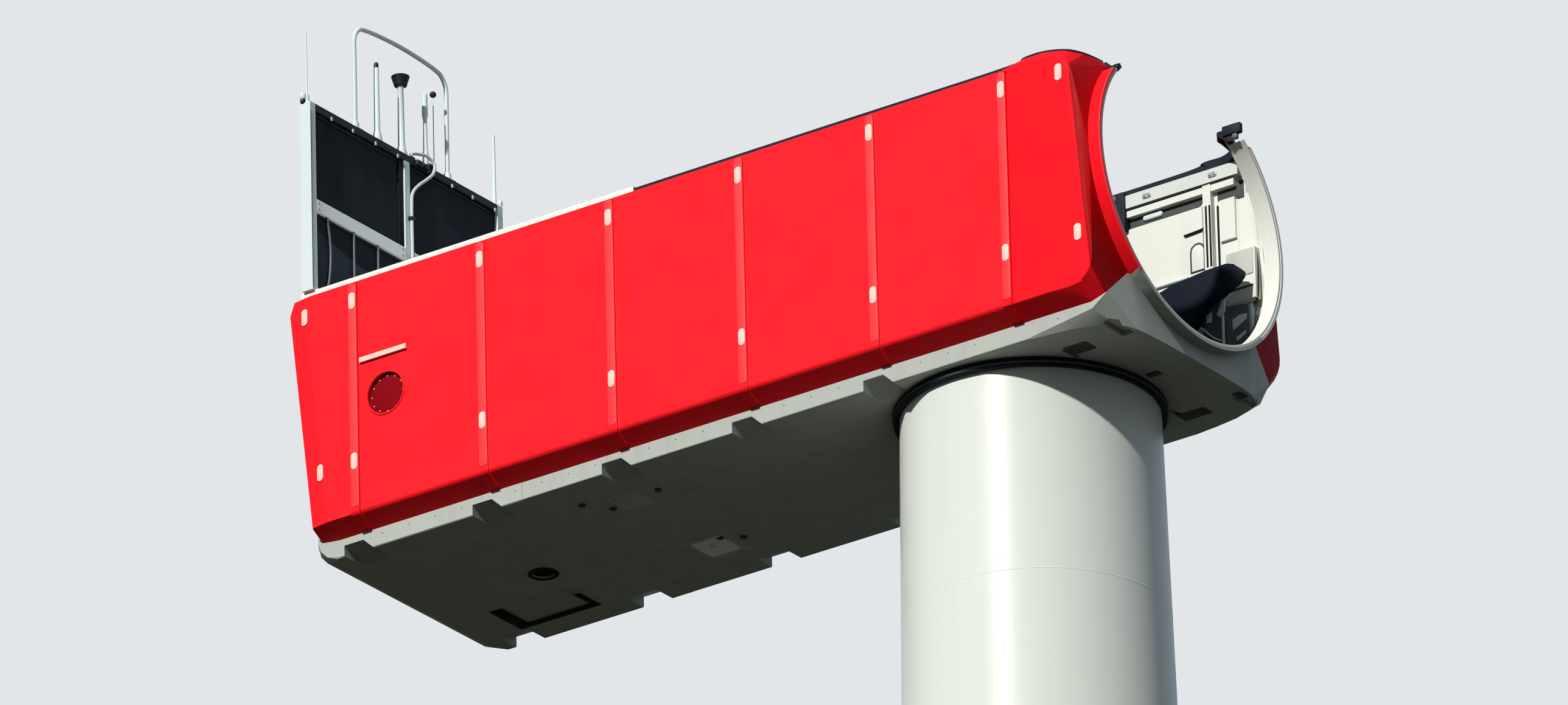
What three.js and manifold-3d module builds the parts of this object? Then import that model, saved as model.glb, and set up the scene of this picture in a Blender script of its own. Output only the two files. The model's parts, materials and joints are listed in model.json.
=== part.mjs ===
// Wind turbine nacelle on the top section of its tower.
// Millimetres, +Z up. The origin is the middle of the tower section's bottom flange face.
// +X points to the rotor end, +Y to the left side of somebody who looks out of the front ring.
// The nacelle's own heights are measured from its flat underside and lifted by UNDERSIDE_Z.

import * as THREE from 'three';
import { mergeVertices } from 'three/addons/utils/BufferGeometryUtils.js';
import { ConvexGeometry } from 'three/addons/geometries/ConvexGeometry.js';
import Module from 'manifold-3d';

const wasm = await Module();
wasm.setup();

// Driving sizes of the tower section
const SEAM_1_DROP = 2870; // from the underside of the nacelle to the first welded seam
const SEAM_2_DROP = 5530; // to the second seam, where this section ends
const TOWER_R = 1650; // outer radius at the top
const TOWER_TAPER = 0.018; // growth of the radius for each millimetre down
const TOWER_WALL = 30;
const TOWER_ENTRY = 60; // the shell's top end stands this far inside the nacelle
const FLANGE_WIDTH = 300;
const FLANGE_HEIGHT = 120;
const YAW_RING_R_OUT = 1600;
const YAW_RING_R_IN = 1320;
const YAW_RING_HEIGHT = 150;
const ROUND_STEPS = 48;

// Driving sizes of the nacelle's shell
const HALF_WIDTH = 2100;
const WALL = 60;
const ROOF_Z = 3650;
const PAN_DEPTH = 244;
const PAN_HALF_WIDTH = 1850;
const PAN_FLOOR = 80;
const PAN_LIP = 107; // width of the pan's upstanding edge
const PAN_BEVEL = 12;
const CHAMFER_TOP_Z = 413; // where the flat side turns in towards the pan
const CHAMFER_LEAN = 1.8; // how much faster than the side the chamfer's foot moves in with an inset
const PAN_REAR_X = -9620; // where the pan's floor ends and its rear end starts to sweep up
const PAN_REAR_SWEEP = [[0, 0], [-150, 60], [-250, 170], [-290, 300], [-290, 470]]; // [ahead, up] from there
const PAN_REAR_CORNER = [110, 160]; // the pan's rear corners in plan, along X and Y
const REAR_X_LOW = -9720; // rear end of the shell at the underside
const REAR_X_HIGH = -10090; // rear end at the roof
const REAR_BAND = 300; // length of the band along the rear end that leans in a little
const REAR_BAND_IN = 45;
const REAR_EDGE = 60; // bevel at the very end
const REAR_TOP_EDGE = 90; // the upper rear corner is cut back this much
const RIB_PITCH = 2031;
const RIB_FIRST_X = -9006; // the rearmost of six joint strips
const RIB_COUNT = 6;
const RIB_WIDTH = 140;
const RIB_PROUD = 25;
const PORT_X = -8510;
const PORT_Z = 1960;
const PORT_R = 285;
const PORT_SET_BACK = 35;
const DRIP_RAIL_Z = 2510;
const DRIP_RAIL = [740, 70, 35]; // length, height and how far it stands out

// Driving sizes of the front end
const FOLD_X = 2080; // front edge of the flat side
const FOLD_R_LOW = 410;
const FOLD_R_HIGH = 350;
const EDGE_X_LOW = 2450; // front edge of the corner band, low down
const EDGE_X_HIGH = 2175; // and at the roof
const EDGE_INSET = 30;
const FOLD_STEPS = 6; // straight lengths in each rounded corner
const COAMING_Z = 3745; // the roof's edge stands higher along the open front
const COAMING_START = [1150, 1450]; // where it begins to rise and where it is at full height
const COAMING_PLAN = [[1450, 2010], [1730, 2010], [1980, 1890], [2090, 1700], [2140, 1470], [2150, 1080]];
const RING_R = 2010; // outer radius of the front ring
const RING_WALL = 45;
const RING_CENTRE_X = 2550;
const RING_CENTRE_Z = 2225;
const RING_DEPTH = 175; // how far the collar stands out of the front wall
const RING_TILT = 4 * Math.PI / 180; // the ring's top leans back
const RING_BAND_DEPTH = 180;
const RING_BAND_WALL = 40;
const COLLAR_TOP_Z = 3530; // the red collar's two ends
const RING_BAND_TOP_Z = 3620; // the ends of the ring band inside it
const CHIN_JOINT_X = 1300; // where the chin meets the front pan
const CHIN_SIDE_END = [2240, 150]; // x and height of the front end of the pan's upright side
const CHIN_FOOT = [ // the flat underside from the joint to the middle of its front edge, as [x, y]
  [1250, 1838],
  [1600, 1800],
  [1940, 1745],
  [2200, 1650],
  [2350, 1550],
  [2450, 1420],
  [2505, 1250],
  [2530, 1000],
  [2540, 600],
  [2545, 0],
];
const CHIN_KNUCKLE = [2430, 1790, 350]; // where the chin, the front wall and the corner band meet
const CHIN_ARC = [1.26 * Math.PI, 1.74 * Math.PI]; // the part of the collar that the chin runs up to

// Driving sizes of the roof
const ROOF_THICKNESS = 60;
const ROOF_OPEN_X = 130; // the roof is open from here to the front ring
const DECK_FRONT_X = -4600; // front end of the raised rear deck
const DECK_HEIGHT = 100;
const DECK_INSET = 60; // how far its edges lie in from the shell's sides

// Driving sizes of the lining of the side walls at the open front
const LINER = { x0: -760, x1: 1900, z0: 560, skin: 20, base: 30, panel: 70, band: 110, post: 120 };
const ROOF_BEAM = { x0: 150, x1: 1980, z0: 3460, depth: 130 };

// Driving sizes of the cooler frame on the roof
const COOLER_X = -9735;
const COOLER_DEPTH = 170;
const COOLER_TOP_Z = 6420;
const COOLER_HALF_WIDTH = 2090;
const COOLER_POST = 115;
const COOLER_BEAM_Z = 4975;
const COOLER_BEAM_HEIGHT = 180;
const COOLER_RAIL_HEIGHT = 100;
const CORE_DEPTH = 70;
const PIPE_R = 22;

const CUT_MARGIN = 50; // cutting solids run past the faces that they cut by this much
const UNDERSIDE_Z = SEAM_2_DROP;
const NACELLE_TOP = new THREE.Matrix4().makeTranslation(0, 0, UNDERSIDE_Z);
const TOUCH_GAP = 0.3; // left between faces that only touch in the real thing
const RUN_GAP = 8; // left between the turning seal and the tower

// Solids

// A closed solid from a three.js geometry, with its shared corners merged and its faces outward.
function solidOf(geometry) {
  const plain = geometry.clone();
  for (const name of Object.keys(plain.attributes)) {
    if (name !== 'position') {
      plain.deleteAttribute(name);
    }
  }
  const merged = mergeVertices(plain, 0.01);
  const places = merged.attributes.position.array;
  const corners = merged.index.array;
  const kept = [];
  let volume = 0;
  const a = new THREE.Vector3();
  const b = new THREE.Vector3();
  const c = new THREE.Vector3();
  for (let i = 0; i < corners.length; i += 3) {
    const [p, q, r] = [corners[i], corners[i + 1], corners[i + 2]];
    if (p === q || q === r || r === p) {
      continue;
    }
    a.fromArray(places, 3 * p);
    b.fromArray(places, 3 * q);
    c.fromArray(places, 3 * r);
    volume += a.dot(b.cross(c));
    kept.push([p, q, r]);
  }
  const facing = volume < 0 ? kept.map(([p, q, r]) => [p, r, q]) : kept;
  return new wasm.Manifold(new wasm.Mesh({
    numProp: 3,
    vertProperties: new Float32Array(places),
    triVerts: new Uint32Array(facing.flat()),
  }));
}

function geometryOf(solid) {
  const mesh = solid.getMesh();
  const geometry = new THREE.BufferGeometry();
  geometry.setAttribute('position', new THREE.BufferAttribute(new Float32Array(mesh.vertProperties), 3));
  geometry.setIndex(new THREE.BufferAttribute(new Uint32Array(mesh.triVerts), 1));
  geometry.computeVertexNormals();
  return geometry;
}

function box([x0, x1], [y0, y1], [z0, z1]) {
  const geometry = new THREE.BoxGeometry(x1 - x0, y1 - y0, z1 - z0);
  geometry.translate((x0 + x1) / 2, (y0 + y1) / 2, (z0 + z1) / 2);
  return solidOf(geometry);
}

function shapeOf(points) {
  return new THREE.Shape(points.map(([a, b]) => new THREE.Vector2(a, b)));
}

// An outline given as [y, z] points, carried along X.
function alongX(points, [x0, x1]) {
  const geometry = new THREE.ExtrudeGeometry(shapeOf(points), { depth: x1 - x0, bevelEnabled: false });
  const axes = new THREE.Matrix4().makeBasis(
    new THREE.Vector3(0, 1, 0), new THREE.Vector3(0, 0, 1), new THREE.Vector3(1, 0, 0));
  geometry.applyMatrix4(axes);
  geometry.translate(x0, 0, 0);
  return solidOf(geometry);
}

// An outline given as [x, z] points, carried along Y.
function alongY(points, [y0, y1]) {
  const geometry = new THREE.ExtrudeGeometry(shapeOf(points), { depth: y1 - y0, bevelEnabled: false });
  const axes = new THREE.Matrix4().makeBasis(
    new THREE.Vector3(1, 0, 0), new THREE.Vector3(0, 0, 1), new THREE.Vector3(0, -1, 0));
  geometry.applyMatrix4(axes);
  geometry.translate(0, y1, 0);
  return solidOf(geometry);
}

// An outline given as [x, y] points, carried along Z.
function alongZ(points, [z0, z1]) {
  const geometry = new THREE.ExtrudeGeometry(shapeOf(points), { depth: z1 - z0, bevelEnabled: false });
  geometry.translate(0, 0, z0);
  return solidOf(geometry);
}

// A closed [radius, z] profile turned about the Z axis.
function turned(profile, steps = ROUND_STEPS) {
  const closed = [...profile, profile[0]].map(([r, z]) => new THREE.Vector2(r, z));
  const geometry = new THREE.LatheGeometry(closed, steps);
  geometry.rotateX(Math.PI / 2);
  return solidOf(geometry);
}

function ringSolid(rIn, rOut, [z0, z1], steps = ROUND_STEPS) {
  return turned([[rIn, z0], [rOut, z0], [rOut, z1], [rIn, z1]], steps);
}

// A round bar between two points, with its own radius at each end.
function bar(from, to, r0, r1 = r0, steps = 10) {
  const start = new THREE.Vector3(...from);
  const end = new THREE.Vector3(...to);
  const length = start.distanceTo(end);
  const geometry = new THREE.CylinderGeometry(r1, r0, length, steps);
  const turn = new THREE.Quaternion().setFromUnitVectors(
    new THREE.Vector3(0, 1, 0), end.clone().sub(start).normalize());
  geometry.applyQuaternion(turn);
  const middle = start.add(end).multiplyScalar(0.5);
  geometry.translate(middle.x, middle.y, middle.z);
  return solidOf(geometry);
}

// A round tube of radius r along a smooth path through the points.
function tube(points, r, steps, sides = 8) {
  const path = new THREE.CatmullRomCurve3(points.map((p) => new THREE.Vector3(...p)), false, 'centripetal');
  const outline = new THREE.Shape();
  outline.absarc(0, 0, r, 0, 2 * Math.PI);
  const geometry = new THREE.ExtrudeGeometry(outline, {
    steps, curveSegments: sides / 2, bevelEnabled: false, extrudePath: path,
  });
  return solidOf(geometry);
}

function joined(solids) {
  return solids.reduce((whole, piece) => whole.add(piece));
}

function hullOf(points) {
  return solidOf(new ConvexGeometry(points.map((p) => new THREE.Vector3(...p))));
}

// The same points on both sides of the middle plane.
function bothSides(points) {
  return points.flatMap(([x, y, z]) => [[x, y, z], [x, -y, z]]);
}

function arcPoints(steps, from, to, place) {
  return Array.from({ length: steps + 1 }, (_, i) => place(from + (to - from) * i / steps));
}

// Materials

const RED = 0xe3122a;
const PALE_GREY = 0xb4b8ae;
const CREAM = 0xe9ebdf;
const WHITE = 0xe6e9e0;
const TOWER_WHITE = 0xdde1da;
const BLACK = 0x15181b;
const DARK_CASTING = 0x222c3c;
const CORE_DARK = 0x141d26;
const STEEL = 0x8d9296;

function paint(color, roughness = 0.4, metalness = 0) {
  return { color, roughness, metalness };
}

const tower = new THREE.Group();
const nacelle = new THREE.Group();
nacelle.applyMatrix4(NACELLE_TOP);

function place(group, name, solid, look) {
  const mesh = new THREE.Mesh(geometryOf(solid), new THREE.MeshStandardMaterial(look));
  mesh.name = name;
  group.add(mesh);
}

// Tower section: two welded cans, a flange at each end and the fixed yaw ring

function towerRadius(z) {
  return TOWER_R + TOWER_TAPER * (UNDERSIDE_Z - z);
}

function can(z0, z1) {
  return turned([
    [towerRadius(z0) - TOWER_WALL, z0],
    [towerRadius(z0), z0],
    [towerRadius(z1), z1],
    [towerRadius(z1) - TOWER_WALL, z1],
  ]);
}

const TOWER_TOP_Z = UNDERSIDE_Z + TOWER_ENTRY;
const SEAM_Z = UNDERSIDE_Z - SEAM_1_DROP;

function flange(z0, z1, faceZ) {
  const r = towerRadius(faceZ);
  return ringSolid(r - FLANGE_WIDTH, r, [z0, z1]);
}

place(tower, 'tower_base_flange', flange(0, FLANGE_HEIGHT, FLANGE_HEIGHT), paint(TOWER_WHITE));
place(tower, 'tower_can_lower', can(FLANGE_HEIGHT, SEAM_Z), paint(TOWER_WHITE));
place(tower, 'tower_can_upper', can(SEAM_Z, TOWER_TOP_Z - FLANGE_HEIGHT), paint(TOWER_WHITE));
place(tower, 'tower_top_flange', flange(TOWER_TOP_Z - FLANGE_HEIGHT, TOWER_TOP_Z, TOWER_TOP_Z),
  paint(TOWER_WHITE));
place(tower, 'yaw_ring', ringSolid(YAW_RING_R_IN, YAW_RING_R_OUT,
  [TOWER_TOP_Z, TOWER_TOP_Z + YAW_RING_HEIGHT]), paint(STEEL, 0.5, 0.8));

// From here on heights are the nacelle's own, from its underside.

const SEAL_R_IN = TOWER_R + RUN_GAP + 4;
const SEAL_R_OUT = 1735;
const SEAL_HEIGHT = 110;
const PAN_HOLE_R = SEAL_R_IN + 6;
place(nacelle, 'yaw_seal', ringSolid(SEAL_R_IN, SEAL_R_OUT, [-SEAL_HEIGHT, 0]), paint(BLACK, 0.7));

// The shell's outer form is one convex block: flat sides, a raked rear end with bevelled corners,
// and a front that runs from the side's folded edge to the round collar.

function rearX(z) {
  return REAR_X_LOW + (REAR_X_HIGH - REAR_X_LOW) * z / ROOF_Z;
}

// A point on a circle of the tilted front ring, set back from its front edge.
function ringPoint(angle, radius, back) {
  const y = radius * Math.cos(angle);
  const up = radius * Math.sin(angle);
  return [
    RING_CENTRE_X - back * Math.cos(RING_TILT) - up * Math.sin(RING_TILT),
    y,
    RING_CENTRE_Z - back * Math.sin(RING_TILT) + up * Math.cos(RING_TILT),
  ];
}

function edgeX(z) {
  const t = (z - CHAMFER_TOP_Z) / (ROOF_Z - CHAMFER_TOP_Z);
  return EDGE_X_LOW + (EDGE_X_HIGH - EDGE_X_LOW) * t;
}

// The shell's upper block with all its faces moved in by an inset.
function upperBlock(inset) {
  const side = HALF_WIDTH - inset;
  const footY = PAN_HALF_WIDTH - inset * CHAMFER_LEAN;
  const points = [];
  const rearPlan = (z, y, cut) => {
    const end = rearX(z) + inset + cut;
    points.push([end, y - REAR_BAND_IN - REAR_EDGE, z]);
    points.push([end + REAR_EDGE / 2, y - REAR_BAND_IN, z]);
    points.push([end + REAR_BAND, y, z]);
  };
  rearPlan(ROOF_Z, side, REAR_TOP_EDGE);
  rearPlan(ROOF_Z - 2 * REAR_TOP_EDGE, side, 0);
  rearPlan(CHAMFER_TOP_Z, side, 0);
  rearPlan(PAN_DEPTH, footY, 0);
  // front edge of the flat side, then of the band beyond it, each with a rounded corner low and high
  const lowCentreZ = CHAMFER_TOP_Z + FOLD_R_LOW;
  const highCentreZ = ROOF_Z - FOLD_R_HIGH;
  const frontEdges = [[() => FOLD_X - inset / 2, side], [(z) => edgeX(z) - inset, side - EDGE_INSET]];
  for (const [leadAt, y] of frontEdges) {
    points.push(...arcPoints(FOLD_STEPS, -Math.PI / 2, 0, (t) => {
      const z = lowCentreZ + FOLD_R_LOW * Math.sin(t);
      return [leadAt(z) - FOLD_R_LOW * (1 - Math.cos(t)), y, z];
    }));
    points.push(...arcPoints(FOLD_STEPS, 0, Math.PI / 2, (t) => {
      const z = highCentreZ + FOLD_R_HIGH * Math.sin(t);
      return [leadAt(z) - FOLD_R_HIGH * (1 - Math.cos(t)), y, z];
    }));
  }
  points.push([CHIN_SIDE_END[0] - inset, footY, PAN_DEPTH]);
  points.push([CHIN_KNUCKLE[0] - inset, CHIN_KNUCKLE[1] - inset, CHIN_KNUCKLE[2]]);
  points.push(...COAMING_PLAN.map(([x, y]) => [x - inset, y - inset, COAMING_Z + CUT_MARGIN]));
  return hullOf([
    ...bothSides(points),
    ...arcPoints(ROUND_STEPS, 0, 2 * Math.PI, (t) => ringPoint(t, RING_R - inset, RING_DEPTH + inset))
      .filter((p) => p[2] < COAMING_Z),
  ]);
}

const outerBlock = upperBlock(0);
const innerBlock = upperBlock(WALL);

// The side walls: an outline in Y and Z that turns in to the pan's edge.
// With a gap it is the same outline, grown inwards, that a neighbour is cut back to.
function sideOutline(gap = 0) {
  return [
    [HALF_WIDTH + gap, ROOF_Z],
    [HALF_WIDTH + gap, CHAMFER_TOP_Z],
    [PAN_HALF_WIDTH, PAN_DEPTH - gap],
    [PAN_HALF_WIDTH - PAN_LIP - 2 * gap, PAN_DEPTH - gap],
    [HALF_WIDTH - WALL - gap, CHAMFER_TOP_Z + WALL / 2 + gap],
    [HALF_WIDTH - WALL - gap, ROOF_Z],
  ];
}

function mirrored(points, side) {
  return points.map(([y, z]) => [side * y, z]);
}

function ribX(i) {
  return RIB_FIRST_X + i * RIB_PITCH;
}

// A joint strip: it covers the gap between two side panels and folds over the chamfer.
function rib(x, side) {
  const outline = [
    [HALF_WIDTH + RIB_PROUD, ROOF_Z - 20],
    [HALF_WIDTH + RIB_PROUD, CHAMFER_TOP_Z - 12],
    [PAN_HALF_WIDTH + 60, PAN_DEPTH + 8],
    [PAN_HALF_WIDTH + 60, PAN_DEPTH + 60],
    [HALF_WIDTH - 20, CHAMFER_TOP_Z + 20],
    [HALF_WIDTH - 20, ROOF_Z - 20],
  ];
  return alongX(mirrored(outline, side), [x - RIB_WIDTH / 2, x + RIB_WIDTH / 2]);
}

const SIDES = [['right', -1], ['left', 1]];

for (const [hand, side] of SIDES) {
  const wall = (x0, x1) => alongX(mirrored(sideOutline(), side), [x0, x1]);
  const rearEnd = RIB_FIRST_X - RIB_WIDTH / 2;
  const corner = wall(REAR_X_HIGH - 50, rearEnd).intersect(outerBlock);
  place(nacelle, `rear_corner_${hand}`, corner, paint(RED, 0.35));
  for (let i = 0; i < RIB_COUNT - 1; i += 1) {
    const [x0, x1] = [ribX(i) - RIB_WIDTH / 2, ribX(i + 1) - RIB_WIDTH / 2];
    const port = bar([PORT_X, side * (HALF_WIDTH - WALL - CUT_MARGIN), PORT_Z],
      [PORT_X, side * (HALF_WIDTH + CUT_MARGIN), PORT_Z], PORT_R, PORT_R, 28);
    const plain = wall(x0, x1).add(rib(ribX(i), side));
    place(nacelle, `side_panel_${hand}_${i + 1}`, i === 0 ? plain.subtract(port) : plain, paint(RED, 0.35));
  }
}

// Front end: collar, front walls and the first side bay are one moulding on each side,
// and the chin below them is grey.

// A cylinder about the tilted ring's axis, from one distance behind the front edge to another.
function ringCylinder(radius, back0, back1) {
  const geometry = new THREE.CylinderGeometry(radius, radius, back1 - back0, ROUND_STEPS * 1.5);
  geometry.rotateZ(Math.PI / 2);
  geometry.translate(-(back0 + back1) / 2, 0, 0);
  geometry.rotateY(-RING_TILT);
  geometry.translate(RING_CENTRE_X, 0, RING_CENTRE_Z);
  return solidOf(geometry);
}

// The chin: the pan's section, carried forward, narrowed and swept up to the ring's foot.
const CHIN_ROOT_HEIGHT = 400; // the hull's rear end reaches this far up into the shell
const CHIN_BACK = RING_DEPTH - 20;
function chinBlock(inset) {
  const y = PAN_HALF_WIDTH - inset;
  const start = CHIN_JOINT_X - CUT_MARGIN;
  return hullOf([
    ...bothSides([
      [start, y, PAN_DEPTH + CHIN_ROOT_HEIGHT],
      [start, y, PAN_BEVEL + inset],
      [CHIN_SIDE_END[0] - inset, y, CHIN_SIDE_END[1] + inset / 2],
      [CHIN_SIDE_END[0] - inset, y, PAN_DEPTH],
      [CHIN_KNUCKLE[0] - inset, CHIN_KNUCKLE[1] - inset, CHIN_KNUCKLE[2]],
      ...CHIN_FOOT.map(([x, footY]) => [x - inset, footY - inset, inset]),
    ]),
    ...arcPoints(24, ...CHIN_ARC, (t) => ringPoint(t, RING_R - inset, CHIN_BACK + inset / 2)),
  ]);
}

const FAR_BACK = -11000;
const FAR_AHEAD = 4000;
const FAR_OUT = 3000;
const collar = ringCylinder(RING_R, 0, RING_DEPTH + WALL);
const bore = ringCylinder(RING_R - RING_WALL, -200, RING_DEPTH + 500);

// The seam between the red nose and the grey chin, and the nose's upper edge, both as [x, z].
const CHIN_LINE = [
  [FAR_BACK, PAN_DEPTH],
  [CHIN_SIDE_END[0], PAN_DEPTH],
  [CHIN_KNUCKLE[0], CHIN_KNUCKLE[2]],
  [2490, 720],
  [2700, 790],
  [FAR_AHEAD, 900],
];
const TOP_LINE = [
  [FAR_BACK, ROOF_Z],
  [COAMING_START[0], ROOF_Z],
  [COAMING_START[1], COAMING_Z],
  [FAR_AHEAD, COAMING_Z],
];
const belowChinLine = alongY([...CHIN_LINE, [FAR_AHEAD, -600], [FAR_BACK, -600]], [-FAR_OUT, FAR_OUT]);
const overChinLine = (gap) => alongY(
  [...CHIN_LINE.map(([x, z]) => [x, z + gap]), [FAR_AHEAD, 6000], [FAR_BACK, 6000]], [-FAR_OUT, FAR_OUT]);
const belowTopLine = alongY([...TOP_LINE, [FAR_AHEAD, -600], [FAR_BACK, -600]], [-FAR_OUT, FAR_OUT]);

const NOSE_INNER_Y = 1300;
const noseStart = ribX(RIB_COUNT - 1) - RIB_WIDTH / 2;
const sideSpan = (side, y0, y1) => (side < 0 ? [-y1, -y0] : [y0, y1]);
const outwardOf = (side, y0, x0) => box([x0, FAR_AHEAD], sideSpan(side, y0, FAR_OUT), [-500, 5000]);
const frontHollow = innerBlock.add(bore);
const redCollar = collar.intersect(box([0, FAR_AHEAD], [-FAR_OUT, FAR_OUT], [-500, COLLAR_TOP_Z]));
const redShell = outerBlock.add(redCollar).subtract(frontHollow).intersect(belowTopLine)
  .intersect(overChinLine(TOUCH_GAP));
const greyShell = outerBlock.add(chinBlock(0)).add(collar)
  .subtract(frontHollow).subtract(chinBlock(PAN_FLOOR)).intersect(belowChinLine);

for (const [hand, side] of SIDES) {
  const nose = redShell.intersect(outwardOf(side, NOSE_INNER_Y, noseStart))
    .add(rib(ribX(RIB_COUNT - 1), side).intersect(overChinLine(TOUCH_GAP)));
  place(nacelle, `nose_${hand}`, nose, paint(RED, 0.35));
}

// The hole for the tower, and small recesses in the underside of the chin
const yawHole = bar([0, 0, -CUT_MARGIN], [0, 0, PAN_DEPTH + CUT_MARGIN], PAN_HOLE_R, PAN_HOLE_R, ROUND_STEPS);
const recesses = (along, y0, y1, depth) => joined(
  SIDES.map(([, side]) => box(along, sideSpan(side, y0, y1), [-CUT_MARGIN, depth])));
const chinRecesses = recesses([2250, 2420], 1200, 1640, 60)
  .add(recesses([1400, 1480], 1010, 1320, 40))
  .add(box([1560, 1620], [-40, 160], [-CUT_MARGIN, 40]));
place(nacelle, 'nose_chin', greyShell
  .intersect(box([CHIN_JOINT_X, FAR_AHEAD], [-FAR_OUT, FAR_OUT], [-500, 2000]))
  .subtract(chinRecesses).subtract(yawHole), paint(PALE_GREY, 0.55));

// The structural ring behind the collar: a cream band that is open at the top.
const bandSolid = ringCylinder(RING_R - RING_WALL - TOUCH_GAP, 5, RING_BAND_DEPTH)
  .subtract(ringCylinder(RING_R - RING_WALL - RING_BAND_WALL, -50, RING_BAND_DEPTH + 50))
  .intersect(box([0, FAR_AHEAD], [-FAR_OUT, FAR_OUT], [-500, RING_BAND_TOP_Z]));
place(nacelle, 'front_ring', bandSolid, paint(CREAM, 0.45));

// The pan: a shallow grey tray under the shell, in three lengths

const PAN_OUTLINE = [
  [-PAN_HALF_WIDTH, PAN_DEPTH],
  [-PAN_HALF_WIDTH, PAN_BEVEL],
  [-PAN_HALF_WIDTH + PAN_BEVEL, 0],
  [PAN_HALF_WIDTH - PAN_BEVEL, 0],
  [PAN_HALF_WIDTH, PAN_BEVEL],
  [PAN_HALF_WIDTH, PAN_DEPTH],
  [PAN_HALF_WIDTH - PAN_LIP, PAN_DEPTH],
  [PAN_HALF_WIDTH - PAN_LIP, PAN_FLOOR],
  [-PAN_HALF_WIDTH + PAN_LIP, PAN_FLOOR],
  [-PAN_HALF_WIDTH + PAN_LIP, PAN_DEPTH],
];

// An edge pocket under each joint strip: a hollow that slopes up from the floor to the pan's lip, with a
// straight rear end and a slanted front end, in a thicker part of the pan.
const POCKET = { back: 380, frontTop: 100, frontFoot: 80, top: 170, reach: 360, wall: 60 };

function pocket(x, side) {
  const outY = side * (PAN_HALF_WIDTH + CUT_MARGIN);
  const inY = side * (PAN_HALF_WIDTH - POCKET.reach);
  const [rear, foot] = [x - POCKET.back, x + POCKET.frontFoot];
  return hullOf([
    [rear, outY, -CUT_MARGIN],
    [foot, outY, -CUT_MARGIN],
    [foot, outY, 0],
    [x - POCKET.frontTop, outY, POCKET.top],
    [rear, outY, POCKET.top],
    [rear, inY, -CUT_MARGIN],
    [foot, inY, -CUT_MARGIN],
    [foot, inY, 0],
    [rear, inY, 0],
  ]);
}

function pocketHousing(x, side) {
  const [y0, y1] = [PAN_HALF_WIDTH - POCKET.reach + POCKET.wall, PAN_HALF_WIDTH - POCKET.wall];
  return box([x - POCKET.back - POCKET.wall, x + POCKET.frontFoot + POCKET.wall], sideSpan(side, y0, y1),
    [PAN_FLOOR / 2, POCKET.top + 10]);
}

function pan(x0, x1, ribs) {
  const spots = ribs.flatMap((i) => SIDES.map(([, side]) => [ribX(i), side]));
  const tray = joined([alongX(PAN_OUTLINE, [x0, x1]), ...spots.map(([x, side]) => pocketHousing(x, side))]);
  return spots.reduce((whole, [x, side]) => whole.subtract(pocket(x, side)), tray);
}

const HATCH = { x0: -8990, x1: -7800, y0: 720, y1: 1400, gap: 25, rim: 40, plug: 100 };
const DRAIN = { x: -7730, y: 180, r: 150 };
const PAN_JOINT_AHEAD = 400; // from a joint strip to the pan's next joint
const PAN_ENDS = [
  PAN_REAR_X + PAN_REAR_CORNER[0] + 40, ribX(1) + PAN_JOINT_AHEAD, ribX(3) + PAN_JOINT_AHEAD, CHIN_JOINT_X,
];

// The pan's rear end: the floor sweeps up behind the foot of the rear wall, with cut corners in plan.
function panEnd(inset) {
  const y = PAN_HALF_WIDTH - inset;
  const start = PAN_ENDS[0] + 10;
  return hullOf(bothSides([
    ...PAN_REAR_SWEEP.flatMap(([ahead, up], i) => {
      const x = PAN_REAR_X + ahead + inset;
      const edge = i === 0 ? y - PAN_BEVEL : y;
      return [[x, edge - PAN_REAR_CORNER[1], up + inset], [x + PAN_REAR_CORNER[0], edge, up + inset]];
    }),
    [start, y, PAN_BEVEL + inset],
    [start, y, PAN_DEPTH + inset],
    [start, y - PAN_BEVEL, inset],
  ]));
}

const panRearEnd = panEnd(0).subtract(upperBlock(-TOUCH_GAP)).subtract(
  panEnd(PAN_FLOOR).intersect(box([REAR_X_LOW + PAN_FLOOR, 0], [-FAR_OUT, FAR_OUT], [PAN_FLOOR, 1000])));
const hatchHole = box([HATCH.x0, HATCH.x1], [HATCH.y0, HATCH.y1], [-CUT_MARGIN, PAN_DEPTH]);
const drainHole = bar([DRAIN.x, DRAIN.y, -CUT_MARGIN], [DRAIN.x, DRAIN.y, 150], DRAIN.r, DRAIN.r, 16);

place(nacelle, 'pan_rear', pan(PAN_ENDS[0], PAN_ENDS[1], [0, 1]).add(panRearEnd)
  .subtract(hatchHole).subtract(drainHole), paint(PALE_GREY, 0.55));
place(nacelle, 'pan_middle', pan(PAN_ENDS[1], PAN_ENDS[2], [2, 3]), paint(PALE_GREY, 0.55));
place(nacelle, 'pan_front', pan(PAN_ENDS[2], PAN_ENDS[3], [4])
  .subtract(yawHole),
paint(PALE_GREY, 0.55));

// Hatch cover: a plate in the opening and a rim that lies on the pan's floor
const hatchBox = (grow, heights) => box(
  [HATCH.x0 - grow, HATCH.x1 + grow], [HATCH.y0 - grow, HATCH.y1 + grow], heights);
place(nacelle, 'underside_hatch', joined([
  hatchBox(-HATCH.gap, [10, 60]),
  hatchBox(-HATCH.plug, [55, PAN_FLOOR + 10]),
  hatchBox(HATCH.rim, [PAN_FLOOR + TOUCH_GAP, PAN_FLOOR + 40]),
]), paint(PALE_GREY, 0.6));

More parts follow.
